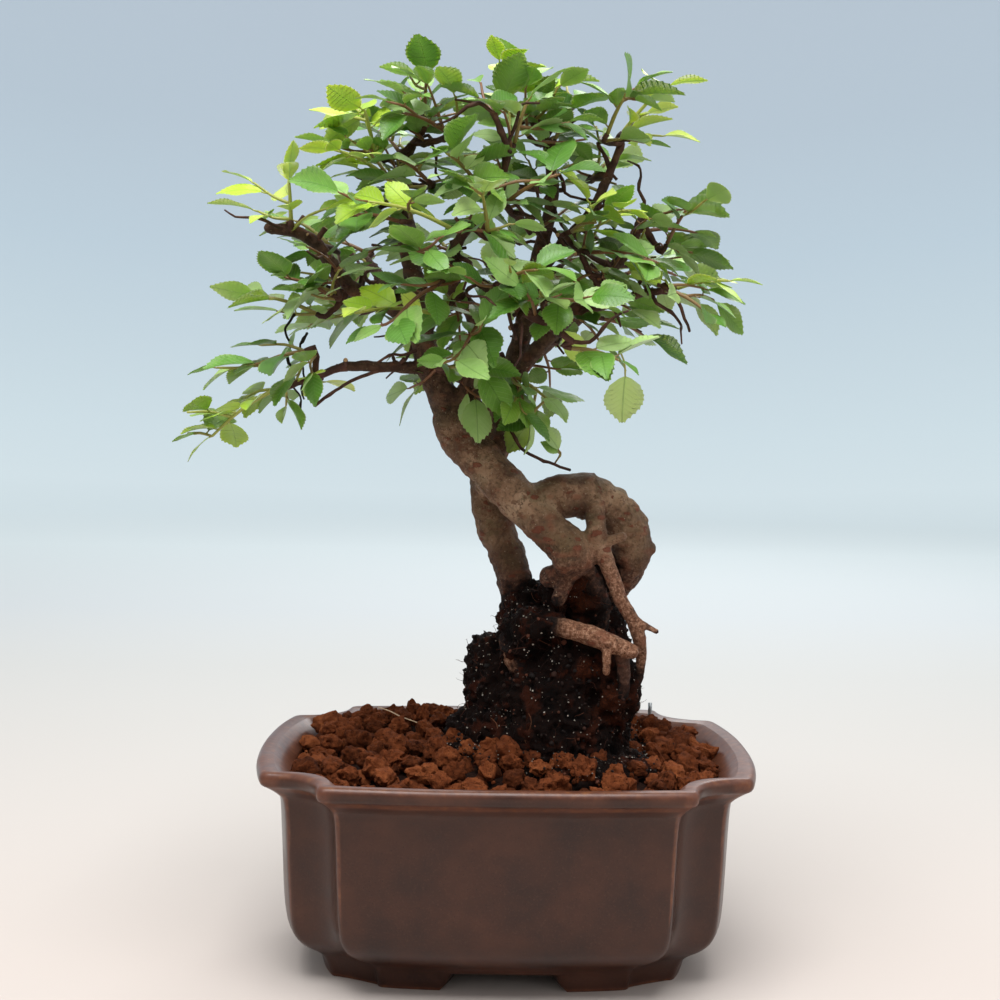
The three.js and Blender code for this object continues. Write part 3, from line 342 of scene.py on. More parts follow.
# Numbers.
def seeded(seed):
    """A run of numbers from 0 to 1, the same as in the solids' source."""
    state = seed
    while True:
        state = (state * 1664525 + 1013904223) & 0xFFFFFFFF
        yield state / 4294967296


def unit(v):
    v = np.asarray(v, float)
    return v / max(np.linalg.norm(v), 1e-9)


def turn(v, k, angle):
    """v turned about the unit axis k."""
    c, s = math.cos(angle), math.sin(angle)
    return v * c + np.cross(k, v) * s + k * np.dot(k, v) * (1 - c)


def lattice(ix, iy, iz, seed):
    n = (ix * 374761393 + iy * 668265263 + iz * 1442695041 + seed * 974634777) & 0xFFFFFFFF
    n = ((n ^ (n >> 13)) * 1274126177) & 0xFFFFFFFF
    return ((n ^ (n >> 16)) & 0xFFFF) / 65535.0


def noise(points, cell, seed=0):
    """Smooth noise from -1 to 1 with cells of a given size."""
    p = np.asarray(points, float) / cell
    i = np.floor(p).astype(np.int64)
    f = p - i
    f = f * f * (3 - 2 * f)
    total = np.zeros(len(p))
    for corner in range(8):
        d = np.array([corner & 1, corner >> 1 & 1, corner >> 2 & 1])
        weight = np.prod(np.where(d, f, 1 - f), axis=1)
        total += weight * lattice(*(i + d).T, seed)
    return 2 * total - 1


def rough(points, cell, seed=0, octaves=3):
    """Noise with finer noise on top."""
    return sum(noise(points, cell / 2**k, seed + k) / 2**k for k in range(octaves))


def smoothstep(low, high, x):
    t = np.clip((x - low) / (high - low), 0, 1)
    return t * t * (3 - 2 * t)


# Meshes.
class Shape:
    """Points, faces and values for each point, collected before they become one mesh."""

    def __init__(self):
        self.points, self.quads, self.tris, self.values, self.count = [], [], [], {}, 0

    def add(self, points, quads=(), tris=(), **values):
        if len(quads):
            self.quads.append(np.asarray(quads) + self.count)
        if len(tris):
            self.tris.append(np.asarray(tris) + self.count)
        for key, value in values.items():
            self.values.setdefault(key, []).append(np.broadcast_to(np.asarray(value, float), len(points)))
        self.points.append(np.asarray(points, float))
        self.count += len(points)


def mesh_from(name, shape):
    points = (np.concatenate(shape.points) + POT_CENTRE) * MM
    tris = np.concatenate(shape.tris) if shape.tris else np.zeros((0, 3), int)
    quads = np.concatenate(shape.quads) if shape.quads else np.zeros((0, 4), int)
    sizes = np.concatenate([np.full(len(tris), 3), np.full(len(quads), 4)])
    mesh = bpy.data.meshes.new(name)
    mesh.vertices.add(len(points))
    mesh.vertices.foreach_set("co", points.astype(np.float32).ravel())
    mesh.loops.add(int(sizes.sum()))
    mesh.loops.foreach_set("vertex_index", np.concatenate([tris.ravel(), quads.ravel()]).astype(np.int32))
    mesh.polygons.add(len(sizes))
    mesh.polygons.foreach_set("loop_start", (np.cumsum(sizes) - sizes).astype(np.int32))
    mesh.update(calc_edges=True)
    mesh.validate()
    for key, value in shape.values.items():
        mesh.attributes.new(key, "FLOAT", "POINT").data.foreach_set(
            "value", np.concatenate(value).astype(np.float32)
        )
    return mesh


def linked(name, data):
    """A new object in the scene."""
    obj = bpy.data.objects.new(name, data)
    bpy.context.scene.collection.objects.link(obj)
    return obj


def applied(obj):
    """The mesh that an object's modifiers make of it. The object itself goes."""
    graph = bpy.context.evaluated_depsgraph_get()
    result = bpy.data.meshes.new_from_object(obj.evaluated_get(graph))
    bpy.data.objects.remove(obj)
    return result


def piece(name, mesh, material, replaced=(), crease=math.pi):
    """A finished piece that rides on the part and stands for the solids named."""
    obj = linked(name, mesh)
    mesh.polygons.foreach_set("use_smooth", np.ones(len(mesh.polygons), bool))
    mesh.set_sharp_from_angle(angle=crease)
    mesh.materials.clear()
    mesh.materials.append(material)
    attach(obj, "root")
    if replaced:
        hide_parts(*replaced)


def points_of(mesh):
    co = np.zeros(len(mesh.vertices) * 3, np.float32)
    mesh.vertices.foreach_get("co", co)
    return co.reshape(-1, 3).astype(float) / MM - POT_CENTRE


def normals_of(mesh):
    n = np.zeros(len(mesh.vertices) * 3, np.float32)
    mesh.vertices.foreach_get("normal", n)
    return n.reshape(-1, 3).astype(float)


def set_points(mesh, points):
    mesh.vertices.foreach_set("co", ((points + POT_CENTRE) * MM).astype(np.float32).ravel())
    mesh.update()


def set_values(mesh, **values):
    """Values for each of a mesh's points, which its finish reads by their names."""
    for key, value in values.items():
        attribute = mesh.attributes.get(key) or mesh.attributes.new(key, "FLOAT", "POINT")
        attribute.data.foreach_set("value", np.asarray(value, np.float32))


def fused(name, shape, voxel, rounds):
    """One skin over a shape's crossing solids, with its creases filled in a little."""
    obj = linked(name, mesh_from(name, shape))
    remesh = obj.modifiers.new("skin", "REMESH")
    remesh.mode = "VOXEL"
    remesh.voxel_size = voxel * MM
    relax = obj.modifiers.new("relax", "SMOOTH")
    relax.factor = 0.5
    relax.iterations = rounds
    return applied(obj)


def strips(rings, size):
    """Quads that join rings of points, each to the next."""
    k = np.arange(size)
    j = (k + 1) % size
    return np.vstack([np.stack([r * size + k, r * size + j, (r + 1) * size + j, (r + 1) * size + k], axis=1)
                      for r in range(rings - 1)])


# The order of a strip's corners that makes it face its inside.
FACING_IN = [0, 3, 2, 1]


def closed(rings, size):
    """Quads that join rings of points, and triangles from the end rings to the two points after them."""
    k = np.arange(size)
    j = (k + 1) % size
    hub = np.full(size, rings * size)
    last = (rings - 1) * size
    caps = [np.stack([hub, j, k], axis=1), np.stack([hub + 1, last + k, last + j], axis=1)]
    return strips(rings, size), np.vstack(caps)


def along_curve(path, step):
    """Points and radii at even steps on a smooth curve through a path's points."""
    path = np.asarray(path, float)
    p = np.vstack([2 * path[0] - path[1], path, 2 * path[-1] - path[-2]])
    knots = np.concatenate([[0], np.cumsum(np.sqrt(np.linalg.norm(np.diff(p[:, :3], axis=0), axis=1)))])
    out = []
    for i in range(1, len(p) - 2):
        count = max(1, int(round(np.linalg.norm(p[i + 1, :3] - p[i, :3]) / step)))
        t = np.linspace(knots[i], knots[i + 1], count, endpoint=False)[:, None]
        a = [((knots[i + k] - t) * p[i + k - 1] + (t - knots[i + k - 1]) * p[i + k])
             / (knots[i + k] - knots[i + k - 1]) for k in (0, 1, 2)]
        b = [((knots[i + k + 1] - t) * a[k] + (t - knots[i + k - 1]) * a[k + 1])
             / (knots[i + k + 1] - knots[i + k - 1]) for k in (0, 1)]
        out.append(((knots[i + 1] - t) * b[0] + (t - knots[i]) * b[1]) / (knots[i + 1] - knots[i]))
    out.append(path[-1:])
    whole = np.vstack(out)
    return whole[:, :3], np.maximum(whole[:, 3], 0.05)


def tube(shape, points, radii, sides, dome=0.6, **values):
    """A closed round tube along points, added to a shape."""
    tangents = np.gradient(points, axis=0)
    tangents /= np.maximum(np.linalg.norm(tangents, axis=1, keepdims=True), 1e-9)
    side = unit(np.cross(tangents[0], UP if abs(tangents[0][2]) < 0.9 else np.array([1.0, 0, 0])))
    angles = np.arange(sides) * 2 * math.pi / sides
    rings = []
    for p, r, t in zip(points, radii, tangents):
        side = unit(side - t * np.dot(side, t))
        other = np.cross(t, side)
        rings.append(p + r * (np.outer(np.cos(angles), side) + np.outer(np.sin(angles), other)))
    ends = [points[0] - tangents[0] * radii[0] * dome, points[-1] + tangents[-1] * radii[-1] * dome]
    count = len(points)
    spread = {}
    for key, value in values.items():
        value = np.broadcast_to(np.asarray(value, float), count)
        spread[key] = np.concatenate([np.repeat(value, sides), value[:1], value[-1:]])
    shape.add(np.vstack(rings + [np.array(ends)]), *closed(count, sides), **spread)


def ball_points(fineness):
    """A unit ball of even triangles: 20 times the square of its fineness."""
    gold = (1 + 5**0.5) / 2
    corners = np.array([
        (-1, gold, 0), (1, gold, 0), (-1, -gold, 0), (1, -gold, 0), (0, -1, gold), (0, 1, gold),
        (0, -1, -gold), (0, 1, -gold), (gold, 0, -1), (gold, 0, 1), (-gold, 0, -1), (-gold, 0, 1),
    ])
    sides = [(0, 11, 5), (0, 5, 1), (0, 1, 7), (0, 7, 10), (0, 10, 11), (1, 5, 9), (5, 11, 4), (11, 10, 2),
             (10, 7, 6), (7, 1, 8), (3, 9, 4), (3, 4, 2), (3, 2, 6), (3, 6, 8), (3, 8, 9), (4, 9, 5),
             (2, 4, 11), (6, 2, 10), (8, 6, 7), (9, 8, 1)]
    places, points, faces = {}, [], []

    def corner(side, i, j):
        a, b, c = corners[list(side)]
        p = unit(a * (fineness - i - j) + b * i + c * j)
        key = tuple(np.round(p, 5) + 0.0)
        if key not in places:
            places[key] = len(points)
            points.append(p)
        return places[key]

    for side in sides:
        for i in range(fineness):
            for j in range(fineness - i):
                faces.append((corner(side, i, j), corner(side, i + 1, j), corner(side, i, j + 1)))
                if i + j < fineness - 1:
                    beyond = corner(side, i + 1, j + 1)
                    faces.append((corner(side, i + 1, j), beyond, corner(side, i, j + 1)))
    return np.array(points), np.array(faces)


def any_turn(rng):
    """A rotation drawn at random."""
    q = unit(rng.normal(size=4))
    w, x, y, z = q
    return np.array([
        [1 - 2 * (y * y + z * z), 2 * (x * y - z * w), 2 * (x * z + y * w)],
        [2 * (x * y + z * w), 1 - 2 * (x * x + z * z), 2 * (y * z - x * w)],
        [2 * (x * z - y * w), 2 * (y * z + x * w), 1 - 2 * (x * x + y * y)],
    ])


# A rock: how near the planes lie that cut it, how sharply they meet, where the ball itself ends, the
# depth, size and way of its wear, and how flat it is.
PLANE_REACH = (0.65, 0.98)
PLANE_SHARPNESS = 7
BALL_REACH = 1.05
WEAR = [(0.9, 0.8, np.positive), (1.3, 0.45, np.abs), (0.9, 0.24, np.positive)]
WEAR_LEVEL = 0.3
ROCK_WIDTH = (0.72, 1.0)
ROCK_HEIGHT = (0.6, 0.92)


def rock(rng, fineness, planes, rugged):
    """An angular lump about 1 in radius: a ball cut by planes, with pitted faces and crumbled edges."""
    points, faces = ball_points(fineness)
    normals = np.array([unit(v) for v in rng.normal(size=(planes, 3))])
    reach = rng.uniform(*PLANE_REACH, planes)
    facing = np.maximum(points @ normals.T, 0.02)
    cut = ((facing / reach) ** PLANE_SHARPNESS).sum(axis=1) + BALL_REACH**-PLANE_SHARPNESS
    shaped = points * (cut ** (-1 / PLANE_SHARPNESS))[:, None]
    place = shaped + rng.uniform(0, 50, 3)
    seed = int(rng.integers(1000))
    wear = sum(depth * way(noise(place, size, seed + i)) for i, (depth, size, way) in enumerate(WEAR))
    shaped *= (1 + rugged * (wear - WEAR_LEVEL))[:, None]
    return shaped * np.array([1.0, rng.uniform(*ROCK_WIDTH), rng.uniform(*ROCK_HEIGHT)]), faces


# Nodes of a finish.
class Finish:
    """A material built up from nodes round one shader. A colour is six hex digits or three shares."""

    def __init__(self, name, **sockets):
        self.material = bpy.data.materials.new(name)
        self.material.use_nodes = True
        self.nodes = self.material.node_tree.nodes
        self.links = self.material.node_tree.links
        self.shader = self.nodes["Principled BSDF"]
        self.place = self.nodes.new("ShaderNodeTexCoord").outputs["Object"]
        for key, value in sockets.items():
            self.shader.inputs[key.replace("_", " ").title().replace("Ior", "IOR")].default_value = value

    def put(self, socket, value):
        if hasattr(value, "is_output"):
            self.links.new(value, socket)
        else:
            socket.default_value = rgba(value) if isinstance(value, str) else value

    def value(self, name):
        """One of the values that the mesh's points carry."""
        node = self.nodes.new("ShaderNodeAttribute")
        node.attribute_name = name
        return node.outputs["Fac"]

    def stretched(self, x, y, z):
        node = self.nodes.new("ShaderNodeMapping")
        self.put(node.inputs["Vector"], self.place)
        node.inputs["Scale"].default_value = (x, y, z)
        return node.outputs["Vector"]

    def noise(self, size_mm, detail, rough_part=0.55):
        node = self.nodes.new("ShaderNodeTexNoise")
        self.put(node.inputs["Vector"], self.place)
        node.inputs["Scale"].default_value = 1 / (size_mm * MM)
        node.inputs["Detail"].default_value = detail
        node.inputs["Roughness"].default_value = rough_part
        return node.outputs["Fac"]

    def cells(self, size_mm, where=None):
        node = self.nodes.new("ShaderNodeTexVoronoi")
        self.put(node.inputs["Vector"], where or self.place)
        node.inputs["Scale"].default_value = 1 / (size_mm * MM)
        return node.outputs["Distance"]

    def math(self, operation, a, b=0.0, c=0.0):
        node = self.nodes.new("ShaderNodeMath")
        node.operation = operation
        for socket, value in zip(node.inputs, (a, b, c)):
            self.put(socket, value)
        return node.outputs[0]

    def times(self, a, b):
        return self.math("MULTIPLY", a, b)

    def weighted(self, *parts):
        """The sum of values, each by its weight."""
        total = 0.0
        for value, weight in reversed(parts):
            total = self.math("MULTIPLY_ADD", value, weight, total)
        return total

    def between(self, value, low, high, out_low=0.0, out_high=1.0):
        """A value's smooth way from one end to the other."""
        node = self.nodes.new("ShaderNodeMapRange")
        node.interpolation_type = "SMOOTHSTEP"
        for socket, item in zip(node.inputs, (value, low, high, out_low, out_high)):
            self.put(socket, item)
        return node.outputs[0]

    def ramp(self, value, *stops):
        """Colours along a value: where each stands, and the colour."""
        node = self.nodes.new("ShaderNodeValToRGB")
        self.put(node.inputs[0], value)
        elements = node.color_ramp.elements
        while len(elements) < len(stops):
            elements.new(0.5)
        for element, (at, colour) in zip(elements, stops):
            element.position = at
            element.color = rgba(colour)
        return node.outputs[0]

    def mix(self, share, a, b):
        node = self.nodes.new("ShaderNodeMix")
        node.data_type = "RGBA"
        colours = [s for s in node.inputs if s.type == "RGBA"]
        self.put(node.inputs[0], share)
        self.put(colours[0], a)
        self.put(colours[1], b)
        return next(s for s in node.outputs if s.type == "RGBA")

    def flecked(self, colour, *layers):
        """A colour under layers: what each follows, where it starts and is full, its share, its colour."""
        for value, low, high, share, top in layers:
            colour = self.mix(self.between(value, low, high, 0.0, share), colour, top)
        return colour

    def marked(self, colour, *marks):
        """A colour under marks, each by one of the mesh's values: its name, its share, its colour."""
        for name, share, top in marks:
            colour = self.mix(self.times(self.value(name), share), colour, top)
        return colour

    def bump(self, height, depth_mm, strength):
        node = self.nodes.new("ShaderNodeBump")
        node.inputs["Strength"].default_value = strength
        node.inputs["Distance"].default_value = depth_mm * MM
        self.put(node.inputs["Height"], height)
        return node.outputs["Normal"]

    def done(self, colour, normal=None, roughness=None):
        for socket, value in (("Base Color", colour), ("Normal", normal), ("Roughness", roughness)):
            if value is not None:
                self.put(self.shader.inputs[socket], value)
        return self.material


def rgba(colour):
    """A colour as the shader takes it, from six hex digits or three shares of light."""
    if isinstance(colour, str):
        parts = [int(colour[i:i + 2], 16) / 255 for i in (0, 2, 4)]
        colour = [p / 12.92 if p <= 0.04045 else ((p + 0.055) / 1.055) ** 2.4 for p in parts]
    return (*colour, 1)


# The pot.
def corner_curves(side_inset, front_inset):
    """A quarter of the pot's plan as curves from the side's middle to the front's."""
    a = LIP_HALF_WIDTH - side_inset
    b = LIP_HALF_DEPTH - front_inset
    side_end = SIDE_LOBE_HALF - SIDE_LOBE_TAPER * side_inset
    front_end = FRONT_LOBE_HALF - FRONT_LOBE_TAPER * front_inset
    side_x, front_y = a - SIDE_BOW, b - FRONT_BOW
    side_turn = (side_x + SIDE_LEAN, side_end - CORNER_ROUND)
    side_out = (side_x - CORNER_ROUND, side_end + END_LEAN)
    front_in = (front_end + FRONT_LEAN, front_y - CORNER_ROUND)
    front_turn = (front_end - CORNER_ROUND, front_y + END_LEAN)
    middle = (np.array(side_out) + front_in) / 2
    deep = np.array([front_end + NOTCH_REACH, side_end + NOTCH_REACH])
    notch = middle + (deep - middle) * min(1, max(NOTCH_LEAST, 1 - (side_inset - NOTCH_FADE) / NOTCH_FADE))
    curves = [
        ((a, 0), (a, BOW_GRIP * side_end), side_turn),
        (side_turn, (side_x, side_end + TURN_LEAN), side_out),
        (side_out, tuple(notch), front_in),
        (front_in, (front_end + TURN_LEAN, front_y), front_turn),
        (front_turn, (BOW_GRIP * front_end, b), (0, b)),
    ]
    return zip(curves, CURVE_POINTS)


def outline(side_inset, front_inset):
    """The pot's plan as points right round, at one inset."""
    quarter = []
    for (p, q, r), count in corner_curves(side_inset, front_inset):
        t = np.arange(count)[:, None] / count
        quarter.append((1 - t) ** 2 * np.array(p) + 2 * t * (1 - t) * np.array(q) + t * t * np.array(r))
    quarter = np.vstack(quarter)
    end = np.array([[0, LIP_HALF_DEPTH - front_inset]])
    mirrored = (quarter * [-1, 1])[::-1][:-1]
    half = np.vstack([quarter, end, mirrored])
    return np.vstack([half, -half])


def softened(rows, rounds=2, cut=0.25):
    """A profile with its corners cut."""
    rows = np.asarray(rows, float)
    for _ in range(rounds):
        a, b = rows[:-1], rows[1:]
        pairs = np.stack([(1 - cut) * a + cut * b, cut * a + (1 - cut) * b], axis=1)
        rows = np.vstack([rows[:1], pairs.reshape(-1, rows.shape[1]), rows[-1:]])
    return rows


def foot_gap(ring):
    """How high the pot's underside is at each point of its foot ring: nothing on the feet."""
    x, y = np.abs(ring[:, 0]), np.abs(ring[:, 1])
    on_front = y > x * LIP_HALF_DEPTH / LIP_HALF_WIDTH
    away = np.where(on_front, FOOT_GAP_FRONT / 2 - x, FOOT_GAP_SIDE / 2 - y)
    rise = smoothstep(-FOOT_GAP_SOFTNESS, FOOT_GAP_SLOPE + FOOT_GAP_SOFTNESS, away)
    return (UNDERSIDE_Z - THINNEST) * rise


def build_pot():
    """The pot's one body with its drain holes, slightly uneven, and how worn each point of its glaze is."""
    size = len(outline(0, 0))
    gap = foot_gap(outline(*OUTSIDE[0][1:]))
    under = outline(FOOT_RING_INSET, FOOT_RING_INSET)
    rings = [np.column_stack([under, np.full(size, UNDERSIDE_Z)]),
             np.column_stack([under, np.minimum(gap, UNDERSIDE_Z - THINNEST)])]
    for z, side, front in np.vstack([softened(OUTSIDE), softened(INSIDE)]):
        height = gap + z * (1 - gap / UNDERSIDE_Z) if z < UNDERSIDE_Z else np.full(size, z)
        rings.append(np.column_stack([outline(side, front), height]))
    shape = Shape()
    shape.add(np.vstack([*rings, [[0, 0, UNDERSIDE_Z], [0, 0, FLOOR_Z]]]), *closed(len(rings), size))
    pot = linked("pot", mesh_from("pot", shape))
    cutters = Shape()
    for x in (-DRAIN_X, DRAIN_X):
        ends = np.array([[x, 0, UNDERSIDE_Z - 3], [x, 0, FLOOR_Z + 3]], float)
        tube(cutters, ends, np.full(2, float(DRAIN_RADIUS)), DRAIN_SIDES, dome=0)
    cutter = linked("drains", mesh_from("drains", cutters))
    hole = pot.modifiers.new("hole", "BOOLEAN")
    hole.object = cutter
    hole.solver = "EXACT"
    result = applied(pot)
    bpy.data.objects.remove(cutter)
    p = points_of(result)
    p += normals_of(result) * sum(depth * noise(p, wide, seed) for depth, wide, seed in GLAZE_WAVES)[:, None]
    set_points(result, p)
    z = p[:, 2]
    ridge = np.abs(noise(p, 9, 8)) * 0.25
    spared = LIP_FACE_SPARED * smoothstep(*LIP_FACE, z) * smoothstep(*LIP_TOP, z)
    lip = smoothstep(*LIP_EDGE, z) * (1 - spared)
    corners = outline(CORNER_INSET, CORNER_INSET)
    from_corner = nearest_value(p[:, :2], corners, edge_turn(corners))
    worn = np.maximum.reduce([lip, from_corner, smoothstep(*FOOT_EDGE, z)])
    set_values(result, edge=np.clip(worn - ridge, 0, 1))
    return result


def edge_turn(ring):
    """How sharply a ring turns outwards at each of its points, from 0 to 1."""
    before = ring - np.roll(ring, EDGE_SPAN, axis=0)
    after = np.roll(ring, -EDGE_SPAN, axis=0) - ring
    cross = before[:, 0] * after[:, 1] - before[:, 1] * after[:, 0]
    angle = np.arctan2(cross, (before * after).sum(axis=1))
    start, span = EDGE_TURN
    return np.clip((angle - start) / span, 0, 1)


def nearest_value(points, keys, values, chunk=20000):
    """The value of the key point nearest each point."""
    out = np.empty(len(points))
    for start in range(0, len(points), chunk):
        part = points[start:start + chunk]
        out[start:start + chunk] = values[((part[:, None] - keys[None]) ** 2).sum(axis=2).argmin(axis=1)]
    return out


def glaze():
    f = Finish("glaze", roughness=0.38, coat_weight=0.12, coat_roughness=0.22, specular_ior_level=0.34)
    cloud = f.noise(15, 4)
    fine = f.noise(0.6, 2)
    body = f.ramp(cloud, (0.3, "2f1b15"), (0.52, "3e2319"), (0.74, "4d2d20"))
    body = f.flecked(body, (fine, 0.5, 0.8, 0.35, "54362a"), (f.cells(1.2), 0.15, 0.09, 0.5, "191212"))
    broken = f.ramp(f.noise(2.2, 4), (0.3, "5a3528"), (0.55, "6f4330"), (0.8, "8d5a36"))
    share = f.math("ADD", f.value("edge"), f.math("MULTIPLY_ADD", cloud, 0.5, -0.25))
    colour = f.flecked(body, (share, 0.25, 0.95, 0.72, broken))
    height = f.weighted((f.noise(6, 3), 0.6), (fine, 0.14))
    return f.done(colour, f.bump(height, 0.3, 0.45), f.between(cloud, 0.3, 0.7, 0.30, 0.44))


# The bed of granules.
def bed_height(x, y):
    share = np.minimum(1, np.hypot(x / BED_REACH[0], y / BED_REACH[1]))
    height = BED_RIM_Z + BED_RISE * (1 - share**BED_CURVE) + BACK_SLOPE * np.maximum(0, y)
    for hx, hy, rise, reach in HEAPS:
        height = height + rise * np.exp(-((x - hx) ** 2 + (y - hy) ** 2) / reach**2)
    return height


def inside_share(x, y, inset):
    """How near each point is to the pot's inner wall: 1 on it, less inside."""
    ring = outline(inset, inset)
    radius = np.hypot(ring[:, 0], ring[:, 1])
    angle = np.arctan2(ring[:, 1], ring[:, 0])
    order = np.argsort(angle)
    wall = np.interp(np.arctan2(y, x), angle[order], radius[order], period=2 * math.pi)
    return np.hypot(x, y) / wall


def scattered(rng, pitch, inset, tries):
    """Places on the bed at least a pitch apart, drawn at random."""
    places = np.zeros((0, 2))
    for _ in range(tries):
        spot = rng.uniform(-SCATTER_REACH, SCATTER_REACH)
        if inside_share(spot[:1], spot[1:], inset)[0] > 1:
            continue
        if len(places) and ((places - spot) ** 2).sum(axis=1).min() < pitch * pitch:
            continue
        places = np.vstack([places, spot])
    return places


# How the granules are strewn: how far to the side and to the front, and for each layer its pitch, its
# inset from the wall and how far it stands over the bed.
SCATTER_REACH = np.array([62, 48])
TOP_LAYER = (6.2, 11.6, 0.2)
LOW_LAYER = (6.4, 12, -3.2)
CRUMB_LAYER = (4.4, 11.6)
GRAIN_TRIES = 7000
CRUMB_TRIES = 2600
# A granule's half width, how much larger a few are, how flat and how uneven they lie, and how many are dark.
GRAIN_SIZE = 3.7
LARGE_GRAINS = 0.14
LARGER = 1.25
GRAIN_FLATNESS = 0.94
GRAIN_LIFT = 0.9
DARK_GRAINS = 0.03
CRUMB_SIZE = (0.35, 1.0)
CRUMB_LIFT = (-0.8, 1.4)
DARK_CRUMBS = 0.2
# The ball keeps the granules out, a little way inside its lumps.
BALL_MARGIN = 1.2
# The dark sheet under the granules, painted shade for the depths between them: its inset from the wall, its
# depth under the bed and its rings.
SHADE_SHEET_INSET = 10.2
SHADE_SHEET_DEPTH = 3.2
SHADE_SHEET_RINGS = 26


def build_granules():
    """The loose granules in two layers with crumbs between them, and beneath them a dark sheet that paints
    the shade between the grains.
    """
    rng = np.random.default_rng(SEED)
    kinds = [rock(rng, 7, int(rng.integers(7, 12)), rng.uniform(0.2, 0.34)) for _ in range(30)]
    plain_kinds = [rock(rng, 3, 9, 0.16) for _ in range(14)]
    small_kinds = [rock(rng, 2, 8, 0.2) for _ in range(8)]
    top, below, shade_sheet = Shape(), Shape(), Shape()
    for shape, group, (pitch, inset, lift) in ((top, kinds, TOP_LAYER), (below, plain_kinds, LOW_LAYER)):
        for x, y in scattered(rng, pitch, inset, GRAIN_TRIES):
            size = GRAIN_SIZE * rng.uniform(0.8, 1.2) * (LARGER if rng.random() < LARGE_GRAINS else 1)
            z = bed_height(x, y) + lift + rng.uniform(-GRAIN_LIFT, GRAIN_LIFT)
            if in_lumps(np.array([[x, y, z]]), BALL_LUMPS, -BALL_MARGIN)[0]:
                continue
            points, faces = group[rng.integers(len(group))]
            points = (points @ any_turn(rng).T) * size * [1, 1, GRAIN_FLATNESS] + [x, y, z]
            shape.add(points, tris=faces, tint=rng.random(), dark=float(rng.random() < DARK_GRAINS))
    for x, y in scattered(rng, *CRUMB_LAYER, CRUMB_TRIES):
        size = rng.uniform(*CRUMB_SIZE)
        z = bed_height(x, y) + rng.uniform(*CRUMB_LIFT)
        points, faces = small_kinds[rng.integers(len(small_kinds))]
        below.add((points @ any_turn(rng).T) * size + [x, y, z], tris=faces, tint=rng.random(),
                  dark=float(rng.random() < DARK_CRUMBS))
    ring = outline(SHADE_SHEET_INSET, SHADE_SHEET_INSET)
    rings = []
    for share in np.linspace(0.02, 1, SHADE_SHEET_RINGS):
        flat = ring * share
        uneven = 0.7 * noise(np.column_stack([flat, flat[:, 0] * 0]), 3, 5)
        rings.append(np.column_stack([flat, bed_height(flat[:, 0], flat[:, 1]) - SHADE_SHEET_DEPTH + uneven]))
    middle = [[0, i, i + 1] for i in range(1, len(ring) - 1)]
    shade_sheet.add(np.vstack(rings), strips(SHADE_SHEET_RINGS, len(ring))[:, FACING_IN], middle)
    return [mesh_from(name, shape) for name, shape in
            (("granules_top", top), ("granules_below", below), ("bed_shade_sheet", shade_sheet))]


def clay():
    f = Finish("clay", roughness=0.95, specular_ior_level=0.08)
    wide = f.noise(1.9, 5, 0.65)
    fine = f.noise(0.6, 4, 0.75)
    shaded_pores = f.cells(0.9)
    tone = f.weighted((wide, 0.75), (f.value("tint"), 0.3))
    colour = f.ramp(tone, (0.24, "381b10"), (0.42, "562c18"), (0.58, "743d22"), (0.78, "935431"))
    colour = f.marked(colour, ("dark", 0.75, "20110c"))
    # Painted shade: the pits of the clay turn near black, and the bump below also sinks them.
    colour = f.flecked(colour, (fine, 0.56, 0.8, 0.5, "935630"), (shaded_pores, 0.24, 0.06, 0.75, "180b07"))
    height = f.weighted((wide, 0.9), (fine, 0.8), (f.between(shaded_pores, 0.26, 0.05, 0, 0.6), -1))
    return f.done(colour, f.bump(height, 0.9, 1.0))


# Painted shade: a near-black sheet under the granules stands in for the shade deep between them.
def dark_soil():
    f = Finish("dark_soil", roughness=0.95, specular_ior_level=0.1)
    grain = f.noise(0.9, 5)
    return f.done(f.ramp(grain, (0.3, "120a08"), (0.7, "2c1a14")), f.bump(grain, 0.8, 1.0))


# The root ball.
def in_lumps(points, lumps, grow):
    """Which points lie inside any of the lumps, grown by a margin."""
    inside = np.zeros(len(points), bool)
    for x, y, z, rx, ry, rz in lumps:
        away = (points - [x, y, z]) / np.array([rx + grow, ry + grow, rz + grow])
        inside |= (away * away).sum(axis=1) < 1
    return inside


# The ball's skin: its voxels, the rounds of smoothing, and how far its waves, crumbs and grains stand out.
BALL_VOXEL = 0.56
SKIN_ROUNDS = 3
WAVE_DEPTH = 1.25
CRUMB_DEPTH = 1.9
CRUMB_LEVEL = 0.55
FINE_DEPTH = 0.6
# Bits on the ball and on the loose peat: how many, how many are white, and the sizes of white and brown
# ones.
BITS_ABOVE = 55
BITS = 1900
WHITE_BITS = 0.5
BIT_SIZES = {True: (0.09, 0.26), False: (0.15, 0.6)}
LARGE_BITS = 0.07
LARGE_BIT_SIZES = {True: (0.2, 0.36), False: (0.5, 1.1)}
LOOSE_BITS = 440
WHITE_LOOSE_BITS = 0.4
LOOSE_BIT_SIZES = {True: (0.1, 0.26), False: (0.15, 0.5)}
LOOSE_TINT = 0.7
LOOSE_INSET = 13
# Root hairs: how many, their joints, how they sag, their radii, and how pale they are beside the straw.
HAIRS = 420
HAIR_STEPS = 6
HAIR_SAG = 0.12
HAIR_TINT = 0.85
HAIR_ROOT = (0.05, 0.15)
HAIR_END = 0.03
STRAW_RADIUS = 0.16
# Where the peat is rusty, x, y, z and reach: between the trunk's foot and the ball, and low on the right.
RUST = [(20, -4, 106, 9), (28, -12, 76, 9), (22, -14, 84, 5)]


def add_bit(rng, bits, points, faces, size, place, white, tint=1.0):
    """A crumb or a white grain, turned at random."""
    points = (points @ any_turn(rng).T) * size + place
    bits.add(points, tris=faces, white=float(white), tint=rng.random() * tint)


